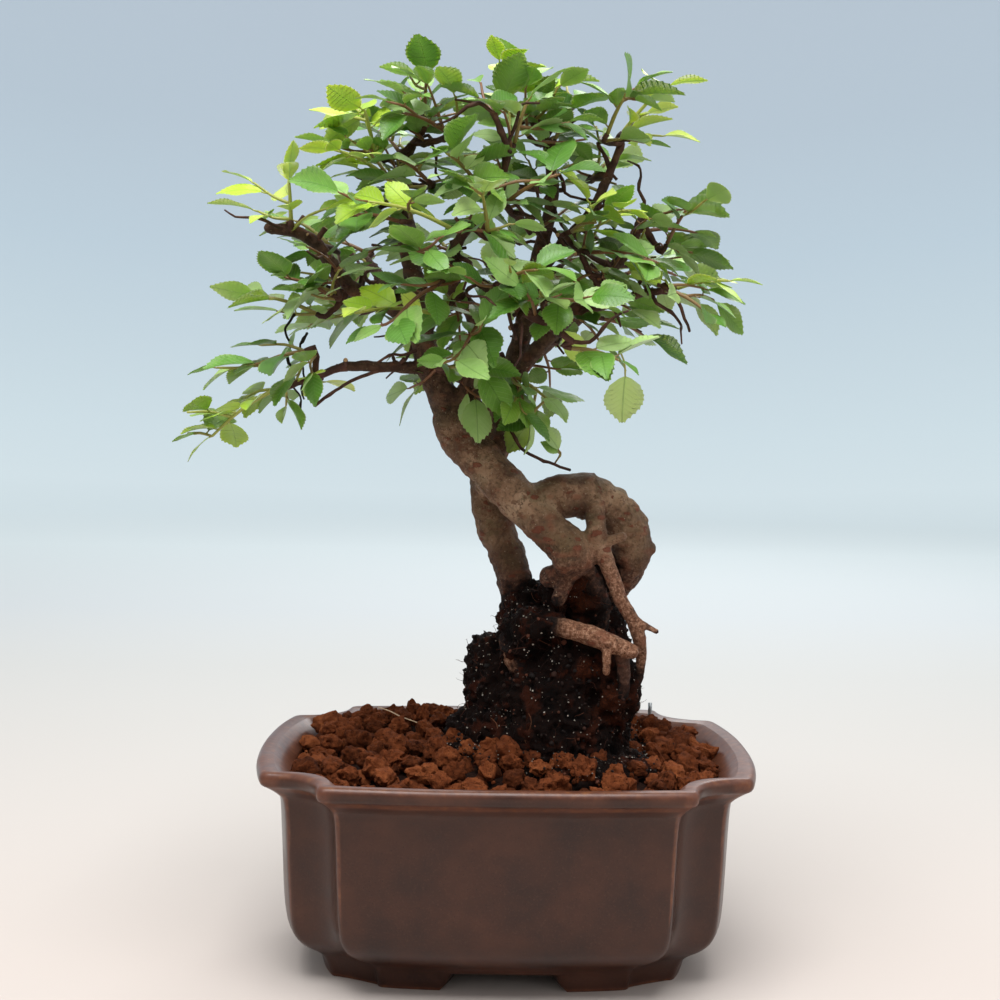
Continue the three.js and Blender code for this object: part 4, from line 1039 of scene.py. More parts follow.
def build_ball():
    """The crumbling ball of peat, the crumbs and white grains on it, and its root hairs with the straw."""
    rng = np.random.default_rng(SEED + 1)
    unit_points, unit_faces = ball_points(14)
    lumps = Shape()
    for x, y, z, rx, ry, rz in BALL_LUMPS + CLINGING + SPILL:
        if z > BALL_SHOWS_FROM:
            points = unit_points * [rx, ry, rz] + [x, y, z]
            points[:, 2] = np.maximum(points[:, 2], BALL_SHOWS_FROM)
            lumps.add(points, tris=unit_faces)
    mesh = fused("root_ball_skin", lumps, BALL_VOXEL, SKIN_ROUNDS)
    p = points_of(mesh)
    open_part = smoothstep(BALL_SHOWS_FROM + 1, BALL_SHOWS_FROM + 6, p[:, 2])
    wide = rough(p, 8, 21, 2)
    crumbs = 1 - np.abs(noise(p, 3.4, 31)) - 0.6 * np.abs(noise(p, 1.7, 32))
    out = WAVE_DEPTH * wide + CRUMB_DEPTH * (crumbs - CRUMB_LEVEL) + FINE_DEPTH * rough(p, 1.2, 41, 2)
    set_points(mesh, p + normals_of(mesh) * (out * open_part)[:, None])
    # Painted shade: the hollows between the crumbs are marked here for the finish to darken.
    set_values(mesh, hollow=np.clip(0.9 - crumbs, 0, 1), rust=rusty(p + 2.5 * wide[:, None]))
    p = points_of(mesh)
    n = normals_of(mesh)
    bits, hairs = Shape(), Shape()
    kinds = [rock(rng, 2, 9, 0.15) for _ in range(8)]
    tiny, tiny_faces = ball_points(1)
    high = np.flatnonzero(p[:, 2] > BITS_ABOVE)
    for index in rng.choice(high, BITS, replace=False):
        white = rng.random() < WHITE_BITS
        size = rng.uniform(*BIT_SIZES[white])
        points, faces = tiny * rng.uniform(0.5, 1.3, 3), tiny_faces
        if rng.random() < LARGE_BITS:
            points, faces = kinds[rng.integers(len(kinds))]
            size = rng.uniform(*LARGE_BIT_SIZES[white])
        add_bit(rng, bits, points, faces, size, p[index] + n[index] * size * 0.3, white)
    for _ in range(LOOSE_BITS):
        lump = SPILL[rng.integers(len(SPILL))]
        away = rng.normal(size=2) * 0.5
        x, y = lump[0] + away[0] * lump[3], lump[1] + away[1] * lump[4]
        if inside_share(np.array([x]), np.array([y]), LOOSE_INSET)[0] > 1:
            continue
        z = bed_height(x, y) + rng.uniform(0.8, 2.9)
        white = rng.random() < WHITE_LOOSE_BITS
        size = rng.uniform(*LOOSE_BIT_SIZES[white])
        points = tiny * rng.uniform(0.6, 1.2, 3)
        add_bit(rng, bits, points, tiny_faces, size, np.array([x, y, z]), white, LOOSE_TINT)
    for index in rng.choice(high, HAIRS, replace=False):
        steps = [p[index] - n[index] * 0.4]
        level = np.cross(n[index], rng.normal(size=3))
        direction = unit(level + n[index] * rng.uniform(0.05, 0.5) - UP * 0.25)
        for _ in range(HAIR_STEPS):
            direction = unit(direction + rng.normal(size=3) * 0.4 - UP * HAIR_SAG)
            steps.append(steps[-1] + direction * rng.uniform(0.4, 1.2))
        radii = np.linspace(rng.uniform(*HAIR_ROOT), HAIR_END, len(steps))
        tube(hairs, np.array(steps), radii, 4, tint=rng.random() * HAIR_TINT)
    straw, radii = along_curve([(*p, STRAW_RADIUS) for p in STRAW], 1.5)
    tube(hairs, straw, radii, 6, tint=1.0)
    return mesh, mesh_from("ball_bits", bits), mesh_from("ball_hairs", hairs)


def rusty(points):
    """How rusty the peat is at each point."""
    share = np.zeros(len(points))
    for x, y, z, reach in RUST:
        away = np.linalg.norm(points - [x, y, z], axis=1)
        share = np.maximum(share, smoothstep(reach, 0.45 * reach, away))
    return share


def peat():
    f = Finish("peat", roughness=0.8, specular_ior_level=0.1)
    fine = f.noise(0.55, 5, 0.75)
    colour = f.ramp(fine, (0.32, "080403"), (0.52, "150a07"), (0.7, "2a150e"), (0.86, "4a2a1c"))
    colour = f.flecked(colour, (f.noise(6, 4), 0.52, 0.62, 0.6, f.mix(fine, "1e0c06", "5a2a17")))
    rust = f.ramp(fine, (0.3, "1c0b06"), (0.55, "46200f"), (0.75, "7c4226"))
    colour = f.marked(colour, ("rust", 0.85, rust))
    # Painted shade: the hollows between the crumbs of peat turn near black.
    colour = f.flecked(colour, (f.value("hollow"), 0.5, 0.9, 0.8, "050303"))
    return f.done(colour, f.bump(fine, 0.9, 1.0), f.between(fine, 0.4, 0.7, 0.6, 0.95))


def peat_bits():
    f = Finish("peat_bits", roughness=0.8, specular_ior_level=0.3)
    tint = f.value("tint")
    brown = f.ramp(tint, (0.2, "0d0706"), (0.7, "25140e"), (0.97, "5a3222"))
    pale = f.ramp(tint, (0.2, "7d7468"), (0.8, "c9c3b8"))
    return f.done(f.mix(f.value("white"), brown, pale), f.bump(f.noise(0.25, 3), 0.2, 0.7))


def root_hair():
    f = Finish("root_hair", roughness=0.8, specular_ior_level=0.25)
    colour = f.ramp(f.value("tint"), (0.1, "24120d"), (0.7, "4e2a1d"), (0.92, "8a5c40"), (1.0, "c8ad8e"))
    return f.done(colour, f.bump(f.noise(0.3, 2), 0.1, 0.6))


# The wood.
def mixed(a, b, share):
    return np.asarray(a, float) + (np.asarray(b, float) - np.asarray(a, float)) * share


# Thin wood: how far it kinks, how many of its points are nodes, and how thin bare twigs are.
KINK = 0.5
NODE_SHARE = 0.22
BARE_SLIMMER = 0.66
# The least radii that go into the skin of bark, what that skin loses by its smoothing, and its voxels.
LIMB_LEAST = 1.25
ROOT_LEAST = 0.8
SKIN_LOSS = 0.22
WOOD_VOXEL = 0.52
# Thick wood: the length and the sides of its rings, how it swells along its way, and how uneven it is.
WOOD_STEP = 1.1
WOOD_SIDES = 20
SWELL = 0.03
SWELL_PITCH = 0.9
UNEVEN = 0.02
# Burrs at the stations of limbs: the least radius there, how far they sit off the middle, and their sizes.
BURR_LEAST = 1.2
BURR_SHIFT = 0.22
BURR_SIZES = (1.02, 1.14)
# Stubs: the shares of stations and of twig points that bear one, where slim limbs have two tries, the
# share that is cut and how pale the others end, their length over the wood, and their radius.
LIMB_STUBS = 0.7
SLIM_LIMB = 2.5
TWIG_STUBS = 0.5
CUT_STUBS = 0.4
UNCUT_PALE = 0.25
STUB_LENGTH = (1.0, 4.0)
STUB_RADIUS = (0.4, 0.9)
STUB_STATIONS = [(0, 1.15), (0.35, 1.0), (0.7, 1.0), (0.96, 1.05), (1.0, 0.9)]
# Twigs inside the crown: the level above which they stand, the share of places without one, and their
# radius.
INNER_ABOVE = 172
INNER_SKIPPED = 0.25
INNER_RADIUS = 0.62
INNER_OUTWARD = 0.9
INNER_STEP = (3.0, 5.5)
INNER_THINNING = 0.13
EDGE_MARGIN = 3
# Marks of the bark: how each is stretched, its size and its seed, and then how far each one lifts the
# surface.
BARK_MARKS = {
    "streaks": ((1, 1, 0.45), 1.9, 61), "pits": ((1, 1, 1), 1.3, 71), "plates": ((1, 1, 0.8), 3.0, 99),
    "scars": ((0.7, 0.7, 1.5), 2.6, 81), "rings": ((0.5, 0.5, 1.6), 1.5, 95),
    "ridges": ((0.6, 0.6, 1.3), 2.2, 97),
}
BARK_RELIEF = {"lumps": 0.4, "streaks": -0.18, "pits": 0.22, "scars": 0.22, "rings": -0.3, "ridges": -0.5,
               "plates": -0.25}
# The bulb at the trunk's foot and the bare wood under it: their places and reaches.
BULB = ((13.5, -12, 116), 6.5)
BARE_WOOD = ((13.5, -11, 103), 7.5)
# Levels between which the bark takes earth colours and grows darker towards the bottom, partly earth on the
# wood and partly painted shade near the ball, and between which it turns into the crown's dark bark.
EARTH_AND_SHADE = (124, 108)
UPPER = (146, 160)
# How tanned each root is: 1 is the bright wood of the roots in front, and what isn't named is halfway.
TANNED = {
    "resting_root": 1, "drop_root": 1, "hanging_root": 0.75, "root_spur": 0.8, "root_stub": 0.9,
    "down_root": 0.3, "leaning_trunk": 0.35, "looping_root": 0.35, "rear_trunk": 0.2, "crown_root": 0.2,
    "inner_root": 0.05,
}
HALF_TANNED = 0.5
FAR = 99.0


def knobby(rng, points, radii, amount):
    """A thin branch's points and radii with small kinks and nodes."""
    points = points.copy()
    radii = radii.copy()
    points[1:-1] += rng.normal(size=(len(points) - 2, 3)) * amount * radii[1:-1, None] * KINK
    node = rng.random(len(points)) < NODE_SHARE
    radii[1:-1] *= np.where(node[1:-1], 1 + amount, 1 - 0.1 * amount)
    return points, radii


def thick_part(path, least):
    """How many of a path's points are thick enough to go into the skin of bark."""
    radii = [p[3] for p in path]
    return next((i for i, r in enumerate(radii) if r < least), len(path))


def shoot_ends(foot, tip, age):
    """Where a shoot's stem starts and ends, and the way it runs."""
    foot, tip = np.array(foot, float), np.array(tip, float)
    along = unit(tip - foot)
    reach = np.linalg.norm(tip - foot)
    last_leaf = min(LEAF_LENGTH * LAST_LEAF[age], LAST_LEAF_MOST * reach)
    return foot - along * STEM_BACK, tip - along * last_leaf, along


def twig_path(limb, joint, foot, tip, age):
    """The twig from a limb's station to the stem of its shoot."""
    x, y, z, joint_radius = LIMBS[limb][joint]
    begin = np.array([x, y, z], float)
    start, _, along = shoot_ends(foot, tip, age)
    neck = start - along * TWIG_NECK
    reach = np.linalg.norm(neck - begin)
    radius = min(joint_radius, TWIG_RADIUS)
    path = [(*begin, radius)]
    if reach > LONG_TWIG:
        knee = mixed(begin, neck, KNEE_AT) - along * KNEE_BACK * reach
        path.append((*knee, radius * KNEE_WIDTH))
    return path + [(*neck, STEM_RADIUS * NECK_WIDTH), (*start, STEM_RADIUS)]


def stem_path(foot, tip, age):
    start, end, along = shoot_ends(foot, tip, age)
    first = start + along * CLEARANCE
    lift = UP * STEM_ARCH * np.linalg.norm(end - start)
    middle = [(*(mixed(first, end, at) + lift), STEM_RADIUS * width) for at, width in STEM_MIDDLE]
    return [(*first, STEM_RADIUS), *middle, (*end, STEM_RADIUS * STEM_TIP)]


def near(points, spot, reach):
    """How near each point is to a spot: 1 there, and less further off."""
    return np.exp(-((points - spot) ** 2).sum(axis=1) / reach**2)


def add_wood(rng, solid, name, path, count):
    """The thick part of a path, slightly uneven, with a burr at each of a limb's stations."""
    points, radii = along_curve(path[:count + 1], WOOD_STEP)
    swell = SWELL * np.sin(np.arange(len(points)) * SWELL_PITCH + len(name))
    radii = radii * (1 + swell + UNEVEN * rng.normal(size=len(points)))
    tube(solid, points, radii + SKIN_LOSS, WOOD_SIDES)
    for x, y, z, r in path[1:count]:
        if name in LIMBS and r > BURR_LEAST:
            ball, faces = ball_points(4)
            spot = np.array([x, y, z]) + rng.normal(size=3) * r * BURR_SHIFT
            solid.add(ball * r * rng.uniform(*BURR_SIZES) + spot, tris=faces)


def add_twig(rng, shape, path, kinks, step=1.6, sides=8, slimmer=1, dead=0.0):
    """A thin round twig with small kinks and nodes."""
    points, radii = along_curve(path, step)
    points, radii = knobby(rng, points, radii, kinks)
    tube(shape, points, radii * slimmer, sides, cut=0.0, dead=dead)
    return points, radii


def bark_marks(p, thick):
    """The marks of the bark at each point, by their names."""
    marks = {key: noise(p * stretch, size, seed) for key, (stretch, size, seed) in BARK_MARKS.items()}
    for key in ("streaks", "plates", "rings", "ridges"):
        marks[key] = np.abs(marks[key])
    marks["lumps"] = rough(p, 11, 51, 2)
    marks["scars"] = smoothstep(0.35, 0.75, marks["scars"])
    marks["rings"] *= smoothstep(4.5, 2.0, thick)
    marks["ridges"] *= smoothstep(24, 29, p[:, 0])
    return marks


def soil_share(p, tan, lumps, pits):
    """How much earth sticks to the wood, which close to the peat also paints the shade where the wood meets
    it: near the peat, on the root that rests on it, and in patches.
    """
    x, y, z = p.T
    soil = smoothstep(2.6, 0.3, clearance(p) + 1.4 * noise(p, 2.2, 91) + 0.8 * pits)
    soil *= 1 - near(p, *BARE_WOOD)
    buried = smoothstep(17, 12.5, x + 2 * lumps)
    resting = smoothstep(0.9, 0.99, tan) * smoothstep(-3, -6, y) * smoothstep(89, 92, z)
    patchy = smoothstep(9, 6, x) * smoothstep(95, 92, z) * smoothstep(-0.2, 0.5, noise(p, 2.0, 93))
    return np.maximum.reduce([soil * (1 - smoothstep(0.7, 0.95, tan)), resting * buried, patchy])


def build_wood():
    """The bark over the trunk, roots and limbs as one skin, and the thin wood as round twigs."""
    rng = np.random.default_rng(SEED + 2)
    solid, twigs = Shape(), Shape()
    clumps = {f"clump_{i}": path for i, path in enumerate(CLUMPS)}
    for name, path in {**ROOTS, **LIMBS, **clumps}.items():
        count = thick_part(path, LIMB_LEAST if name in LIMBS else ROOT_LEAST)
        if count >= 2:
            add_wood(rng, solid, name, path, count)
        if count < len(path):
            slimmer = BARE_SLIMMER if name.startswith("bare") else 1
            add_twig(rng, twigs, path[max(0, count - 1):], kinks=0.22, slimmer=slimmer)
    for x, y, z, r in KNOBS:
        ball, faces = ball_points(6)
        solid.add(ball * r + [x, y, z], tris=faces)
    for path in leafy_limbs():
        for x, y, z, r in path[1:-1]:
            for _ in range(2 if r < SLIM_LIMB else 1):
                if rng.random() < LIMB_STUBS:
                    add_stub(rng, twigs, np.array([x, y, z]), r)
    for limb, joint, foot, tip, age, _ in SHOOTS:
        points, radii = add_twig(rng, twigs, twig_path(limb, joint, foot, tip, age), kinks=0.26)
        for p, r in zip(points[2:-2:5], radii[2:-2:5]):
            if rng.random() < TWIG_STUBS:
                add_stub(rng, twigs, p, r)
    for path in DEAD_TWIGS:
        add_twig(rng, twigs, path, kinks=0.5, step=1.0, sides=7, dead=1.0)
    for path in inner_twigs(rng):
        add_twig(rng, twigs, path, kinks=0.3, step=1.8, sides=7)
    mesh = fused("tree_skin", solid, WOOD_VOXEL, SKIN_ROUNDS)
    p = points_of(mesh)
    thick, tan = nearest_wood(p)
    marks = bark_marks(p, thick)
    out = np.clip(thick / 5, 0.3, 1) * sum(depth * marks[key] for key, depth in BARK_RELIEF.items())
    for *spot, reach, depth in FOLDS:
        out += near(p, spot, reach) * depth * np.sin((p[:, 0] * 0.9 + p[:, 2] * 0.45) * 3.4)
    set_points(mesh, p + normals_of(mesh) * out[:, None])
    lumps = marks["lumps"]
    set_values(
        mesh, thick=np.clip(thick / 6, 0, 1), scar=marks["scars"], streak=marks["streaks"], tan=tan,
        earthy=smoothstep(*EARTH_AND_SHADE, p[:, 2] + 4 * lumps), soil=soil_share(p, tan, lumps, marks["pits"]),
        olive=np.clip(near(p, *BULB) * 1.3 + 0.3 * lumps, 0, 1),
        upper=smoothstep(*UPPER, p[:, 2] + 3 * lumps),
    )
    return mesh, mesh_from("twigs", twigs)


def leafy_limbs():
    return [path for name, path in LIMBS.items() if not name.startswith("bare")]


def clearance(points):
    """About how far each point is from the ball's peat."""
    nearest = np.full(len(points), FAR)
    for x, y, z, rx, ry, rz in BALL_LUMPS + CLINGING + SPILL:
        share = np.linalg.norm((points - [x, y, z]) / [rx, ry, rz], axis=1)
        nearest = np.minimum(nearest, (share - 1) * min(rx, ry, rz))
    return nearest


def inner_twigs(rng):
    """Bare twigs among the leaves, which fork off the limbs and kink at each node."""
    paths = []
    for path in leafy_limbs():
        points, radii = along_curve(path, 6.0)
        for p, r in zip(points, radii):
            if p[2] < INNER_ABOVE or rng.random() < INNER_SKIPPED:
                continue
            direction = unit(rng.normal(size=3) + unit(p - CANOPY_CENTRE) * INNER_OUTWARD + UP * 0.2)
            thick = min(INNER_RADIUS, r * 0.7)
            row = [(*p, thick)]
            spot = p.copy()
            for k in range(int(rng.integers(3, 6))):
                direction = unit(direction + rng.normal(size=3) * 0.5)
                spot = spot + direction * rng.uniform(*INNER_STEP)
                row.append((*spot, thick * (0.9 - INNER_THINNING * k)))
            if (spot > CAD_LOW + EDGE_MARGIN).all() and (spot < CAD_HIGH - EDGE_MARGIN).all():
                paths.append(row)
    return paths


def add_stub(rng, shape, place, radius):
    """A pruned stub with a pale cut end."""
    direction = unit(rng.normal(size=3) + UP * 0.4)
    length = radius + rng.uniform(*STUB_LENGTH)
    thick = min(radius * 0.8, rng.uniform(*STUB_RADIUS))
    points = np.array([place + direction * length * share for share, _ in STUB_STATIONS])
    pale = 1.0 if rng.random() < CUT_STUBS else UNCUT_PALE
    radii = thick * np.array([width for _, width in STUB_STATIONS])
    tube(shape, points, radii, 8, dome=0.1, cut=[0, 0, 0, 0, pale], dead=0.0)


def nearest_wood(points):
    """The radius of the wood nearest each point, and how tanned it is there."""
    rows = []
    for name, path in {**ROOTS, **LIMBS}.items():
        spots, radii = along_curve(path, 2.0)
        rows.append(np.column_stack([spots, radii, np.full(len(radii), TANNED.get(name, HALF_TANNED))]))
    rows = np.vstack(rows)
    nearest = nearest_value(points, rows[:, :3], np.arange(len(rows)), 4000).astype(int)
    return rows[nearest, 3], rows[nearest, 4]


def bark():
    f = Finish("bark", roughness=0.66, specular_ior_level=0.28)
    mid = f.noise(2.4, 6, 0.6)
    small = f.noise(1.0, 5, 0.65)
    fine = f.noise(0.4, 4, 0.75)
    worn = f.math("MULTIPLY_ADD", fine, 0.22, -0.11)
    blotches = f.math("ADD", f.cells(4.6, f.stretched(0.75, 0.75, 1.7)), worn)
    blotches = f.times(f.between(blotches, 0.3, 0.24), f.between(f.noise(4.5, 2), 0.49, 0.53))
    specks = f.math("ADD", f.cells(1.15), f.times(worn, 0.5))
    colour = f.ramp(f.noise(11, 4), (0.3, "423024"), (0.46, "7a5c45"), (0.6, "9e7d61"), (0.78, "cbb091"))
    colour = f.flecked(
        colour, (small, 0.51, 0.68, 0.7, "46352a"), (f.noise(7, 5), 0.54, 0.6, 0.35, "5b5438"),
        (mid, 0.56, 0.6, 0.7, "64402e"), (small, 0.46, 0.32, 0.4, "b39a80"),
    )
    olive = f.ramp(small, (0.36, "3d3a22"), (0.5, "625a36"), (0.66, "8f7f55"))
    dark_earth = f.ramp(small, (0.34, "1b0e0a"), (0.52, "3d2319"), (0.7, "6a4734"))
    grain = f.weighted((small, 0.6), (fine, 0.4))
    pale_earth = f.ramp(grain, (0.37, "442518"), (0.5, "8c5f45"), (0.62, "cba083"))
    earth = f.mix(f.value("tan"), dark_earth, pale_earth)
    high_bark = f.mix(f.between(mid, 0.42, 0.6), "3a251c", "664b3a")
    # Painted shade and earth: the wood low down near the ball takes the earth colours, darkest on the wood
    # that is least tanned.
    colour = f.marked(colour, ("olive", 0.75, olive), ("earthy", 1, earth), ("upper", 0.8, high_bark))
    colour = f.mix(f.times(blotches, 0.85), colour, "743d29")
    colour = f.marked(colour, ("scar", 0.6, "84513a"))
    colour = f.flecked(
        colour, (f.cells(1.7), 0.12, 0.07, 0.6, "b9a78b"), (specks, 0.15, 0.09, 0.75, "271a13"),
        (f.value("streak"), 0.1, 0.02, 0.35, "2c2018"),
    )
    thin = f.times(f.between(f.value("thick"), 0.5, 0.22), f.between(f.value("tan"), 0.8, 0.3, 0, 0.6))
    # Painted shade and earth: close to the peat the wood turns dark where it meets it; on the resting root
    # and in patches the mark is earth on the wood.
    soil = f.ramp(small, (0.42, "0e0706"), (0.6, "2a1710"), (0.72, "54352a"))
    colour = f.marked(f.mix(thin, colour, "40271e"), ("soil", 1, soil))
    sunk = f.between(specks, 0.17, 0.06, 0, 0.4)
    height = f.weighted((small, 0.9), (fine, 0.45), (blotches, 0.35), (sunk, -1))
    return f.done(colour, f.bump(height, 0.8, 1.2), f.between(f.value("soil"), 0.1, 0.6, 0.64, 0.97))


def twig_bark():
    f = Finish("twig_bark", roughness=0.66, specular_ior_level=0.35)
    wide = f.noise(4, 3)
    colour = f.ramp(wide, (0.3, "2b1812"), (0.5, "472a1f"), (0.75, "684636"))
    colour = f.flecked(colour, (f.cells(0.9), 0.16, 0.08, 0.4, "8d7560"),
                       (f.value("cut"), 0.3, 0.8, 1, "a8865f"))
    colour = f.marked(colour, ("dead", 0.9, "0e0b0a"))
    return f.done(colour, f.bump(f.math("ADD", wide, f.noise(0.4, 4)), 0.22, 0.8))


# Leaves.
def point_on(path, share):
    """The place, direction and radius at a share of a stem's stations."""
    last = len(path) - 1
    at = min(share, 0.9999) * last
    k = int(at)
    frac = at - k
    p = [np.array(s[:3], float) for s in path]
    before = unit(p[k + 1] - p[max(k - 1, 0)])
    after = unit(p[min(k + 2, last)] - p[k])
    radius = path[k][3] + (path[k + 1][3] - path[k][3]) * frac
    return mixed(p[k], p[k + 1], frac), unit(mixed(before, after, frac)), radius


# How a leaf stands, by the rule of the solids: what part of its light comes from above, the way it lies
# where its stem runs into the light, its spread from the stem, and how far draws change its spread, its
# lift and its roll.
LIGHT_UP = 0.8
LEAST_LIGHT = 0.25
SIDEWAYS = np.array([0.6, -0.8, 0.0])
LEAF_SPREAD = 0.95
SPREAD_DRAW = 0.3
SIDE_LIFT = 0.35
TIP_LIFT = 0.1
ROLL_DRAW = 1.3


def leaf_at(path, share, side, draw, swing):
    """Where a leaf stands on its stem, the way it runs and the way it faces."""
    point, along, radius = point_on(path, share)
    light = unit(UP * LIGHT_UP + unit(point - CANOPY_CENTRE) * LEAF_FACING)
    level = light if np.linalg.norm(np.cross(along, light)) > LEAST_LIGHT else SIDEWAYS
    flat = unit(np.cross(along, level))
    out = turn(flat * side, along, swing)
    spread = 0 if side == 0 else LEAF_SPREAD + SPREAD_DRAW * (draw["spread"] - 0.5)
    tilt = TIP_LIFT * (draw["lift"] - 0.5) if side == 0 else SIDE_LIFT * (draw["lift"] - 0.4)
    run = unit(along * math.cos(spread) + out * math.sin(spread) + light * tilt)
    facing = light - run * np.dot(light, run)
    upper = unit(facing) if np.linalg.norm(facing) > 0.2 else flat
    normal = turn(upper, run, ROLL_DRAW * (draw["roll"] - 0.5) + (swing if side == 0 else 0))
    return point, run, normal, radius


# A blade's stations along it, each with its push outwards and its lead towards the tip: its foot, one
# tooth by shares of its pitch, and its tip.
BLADE_FOOT = [(0.0, 0.0, 0.0), (0.05, 0.0, 0.0), (0.11, 0.0, 0.0)]
TOOTH = [(0.0, -0.07, -0.01), (0.42, 0.04, 0.014), (0.8, 0.09, 0.04)]
BLADE_TIP = [(0.965, -0.03, 0.0), (1.0, 0.0, 0.0)]
TEETH_END = 0.97
LEAF_COLUMNS = (-1, -0.62, 0, 0.62, 1)


def leaf_grid(peak, teeth_from, teeth):
    """A blade in its own plane: points along and across, quads, and which points its underside repeats."""
    stations = list(BLADE_FOOT)
    if teeth_from > 0.2:
        stations.append((0.5 * (BLADE_FOOT[-1][0] + teeth_from), 0.0, 0.0))
    pitch = (TEETH_END - teeth_from) / teeth
    for k in range(teeth):
        stations += [(teeth_from + k * pitch + at * pitch, push, lead) for at, push, lead in TOOTH]
    along, across = [], []
    for t, push, lead in stations + BLADE_TIP:
        width = math.sin(math.pi * t**peak) ** (0.72 if t**peak < 0.5 else 1.12) if 0 < t < 1 else 0.0
        for v in LEAF_COLUMNS:
            edge = abs(v) == 1
            along.append(t + (lead if edge else 0.3 * lead))
            across.append(v * width + (math.copysign(push, v) * (0.45 + 0.55 * width) if edge else 0.0))
    wide = len(LEAF_COLUMNS)
    rows = len(along) // wide
    middle = wide // 2
    inner = {k * wide + middle: rows * wide + k - 1 for k in range(1, rows - 1)}
    quads, under = [], []
    for row in range(0, (rows - 1) * wide, wide):
        quads += [(row + c, row + c + 1, row + c + 1 + wide, row + c + wide) for c in range(wide - 1)]
        for a, b in ((row, row + middle), (row + middle, row + wide - 1)):
            under.append(tuple(inner.get(i, i) for i in (a + wide, b + wide, b, a)))
    return np.array(along), np.array(across), np.array(quads + under), np.array(list(inner))


# Kinds of blade: how its width moves towards the tip, where its teeth start, and how many there are on a
# side.
LEAF_KINDS = [(0.9, 0.2, 8), (0.98, 0.22, 8), (1.06, 0.24, 7), (0.94, 0.26, 9), (1.0, 0.18, 8)]
LEAF_FORMS = [leaf_grid(*kind) for kind in LEAF_KINDS]


# How leaves differ: their fold, cup, droop, twist, the phase of their waves and their lean to a side.
# Then their stalk's length, its radii and sides, and the blade's half thickness.
LEAF_WAYS = ((0.1, 0.5), (-0.3, 0.1), (0.3, 2.6), (-0.4, 0.4), (0, 6.3), (-0.07, 0.07))
STALK_SHARE = 0.1
STALK_RADII = np.array([0.3, 0.25, 0.2])
STALK_SIDES = 5
BLADE_HALF = 0.07


def add_leaf(rng, shape, place, run, normal, radius, length, width, age):
    """One serrated leaf on its short stalk."""
    t, s, quads, lower = LEAF_FORMS[rng.integers(len(LEAF_FORMS))]
    across = np.cross(normal, run)
    stalk = STALK_SHARE * length
    base = place + run * (radius * 0.5 + stalk)
    blade = length - stalk - radius * 0.5
    half = width / 2
    side = np.abs(s)
    fold, cup, droop, twist, phase, lean = (rng.uniform(*way) for way in LEAF_WAYS)
    wave = 0.02 * length * np.sin(t * 8 + phase) * side**1.5 * np.where(s > 0, 1, rng.uniform(-1, 1))
    high = fold * side * half + cup * s * s * half + twist * s * t * half + wave
    high -= LEAF_DROOP * droop * blade * t * t
    thick = BLADE_HALF * np.maximum(0, 1 - s * s)
    flat = base + np.outer(t * blade, run) + np.outer(s * half + lean * length * t * (1 - t) * 2, across)
    upper = flat + np.outer(high + thick, normal)
    under = flat + np.outer(high - thick, normal)
    tint = rng.random()
    below = np.concatenate([np.zeros(len(t)), np.ones(len(lower))])
    shape.add(np.vstack([upper, under[lower]]), quads, u=np.concatenate([t, t[lower]]),
              v=np.concatenate([s, s[lower]]), tint=tint, age=age, stem=0.0, below=below)
    stalk_points = np.array([place, place + run * stalk * 0.6 - normal * 0.1, base + run * 0.35])
    add_stem(shape, stalk_points, STALK_RADII, STALK_SIDES, age, tint)


def lifted(rng, run, normal, share):
    """A leaf's run and facing, turned a share of the way to level and facing the sky."""
    sky = UP - run * run[2]
    if np.linalg.norm(sky) > 0.3:
        normal = unit(normal * (1 - share) + unit(sky) * share)
    normal = turn(normal, run, rng.normal() * 0.3)
    run = turn(run, normal, rng.normal() * 0.28)
    lean = max(0.0, abs(run[2]) - 0.25) * LEAN_BACK * math.copysign(1, run[2]) * rng.uniform(0.5, 1.3)
    across = unit(np.cross(normal, run))
    return turn(run, across, lean), turn(normal, across, lean)


def add_stem(shape, points, radii, sides, age, tint=0.5):
    """A green or brown stem, which has no blade."""
    tube(shape, points, radii, sides, u=0.0, v=0.0, tint=tint, age=age, stem=1.0, below=0.0)


def along_stem(path):
    """A shoot's stem as points and radii, a little thinner than that of its solid."""
    points, radii = along_curve(path, 2.2)
    return points, radii * STEM_SLIMMER, STEM_SIDES


# How the leaves stand on a shoot: the share of its stem where the first one and the last one are, and
# between.
FIRST_LEAF = 0.12
LEAF_SPAN = 0.76
TIP_LEAF = 0.97
YOUNG_SIZE = 0.85
SMALL_TIP = 0.5
MIDDLE = 0.55
# The ages of shoots, how much single leaves differ, and how far each leaf is turned to face the sky.
AGES = {"young": (0.0, 0.25), "mature": (0.55, 1.0)}
AGE_DRAW = 0.08
SIZES = (0.8, 0.4)
WIDTHS = (0.9, 0.25)
SLIMMER_LEAVES = (0.74, 0.98)
TO_THE_SKY = (0.2, 0.75)
DRAWS = ("spread", "lift", "roll", "size")


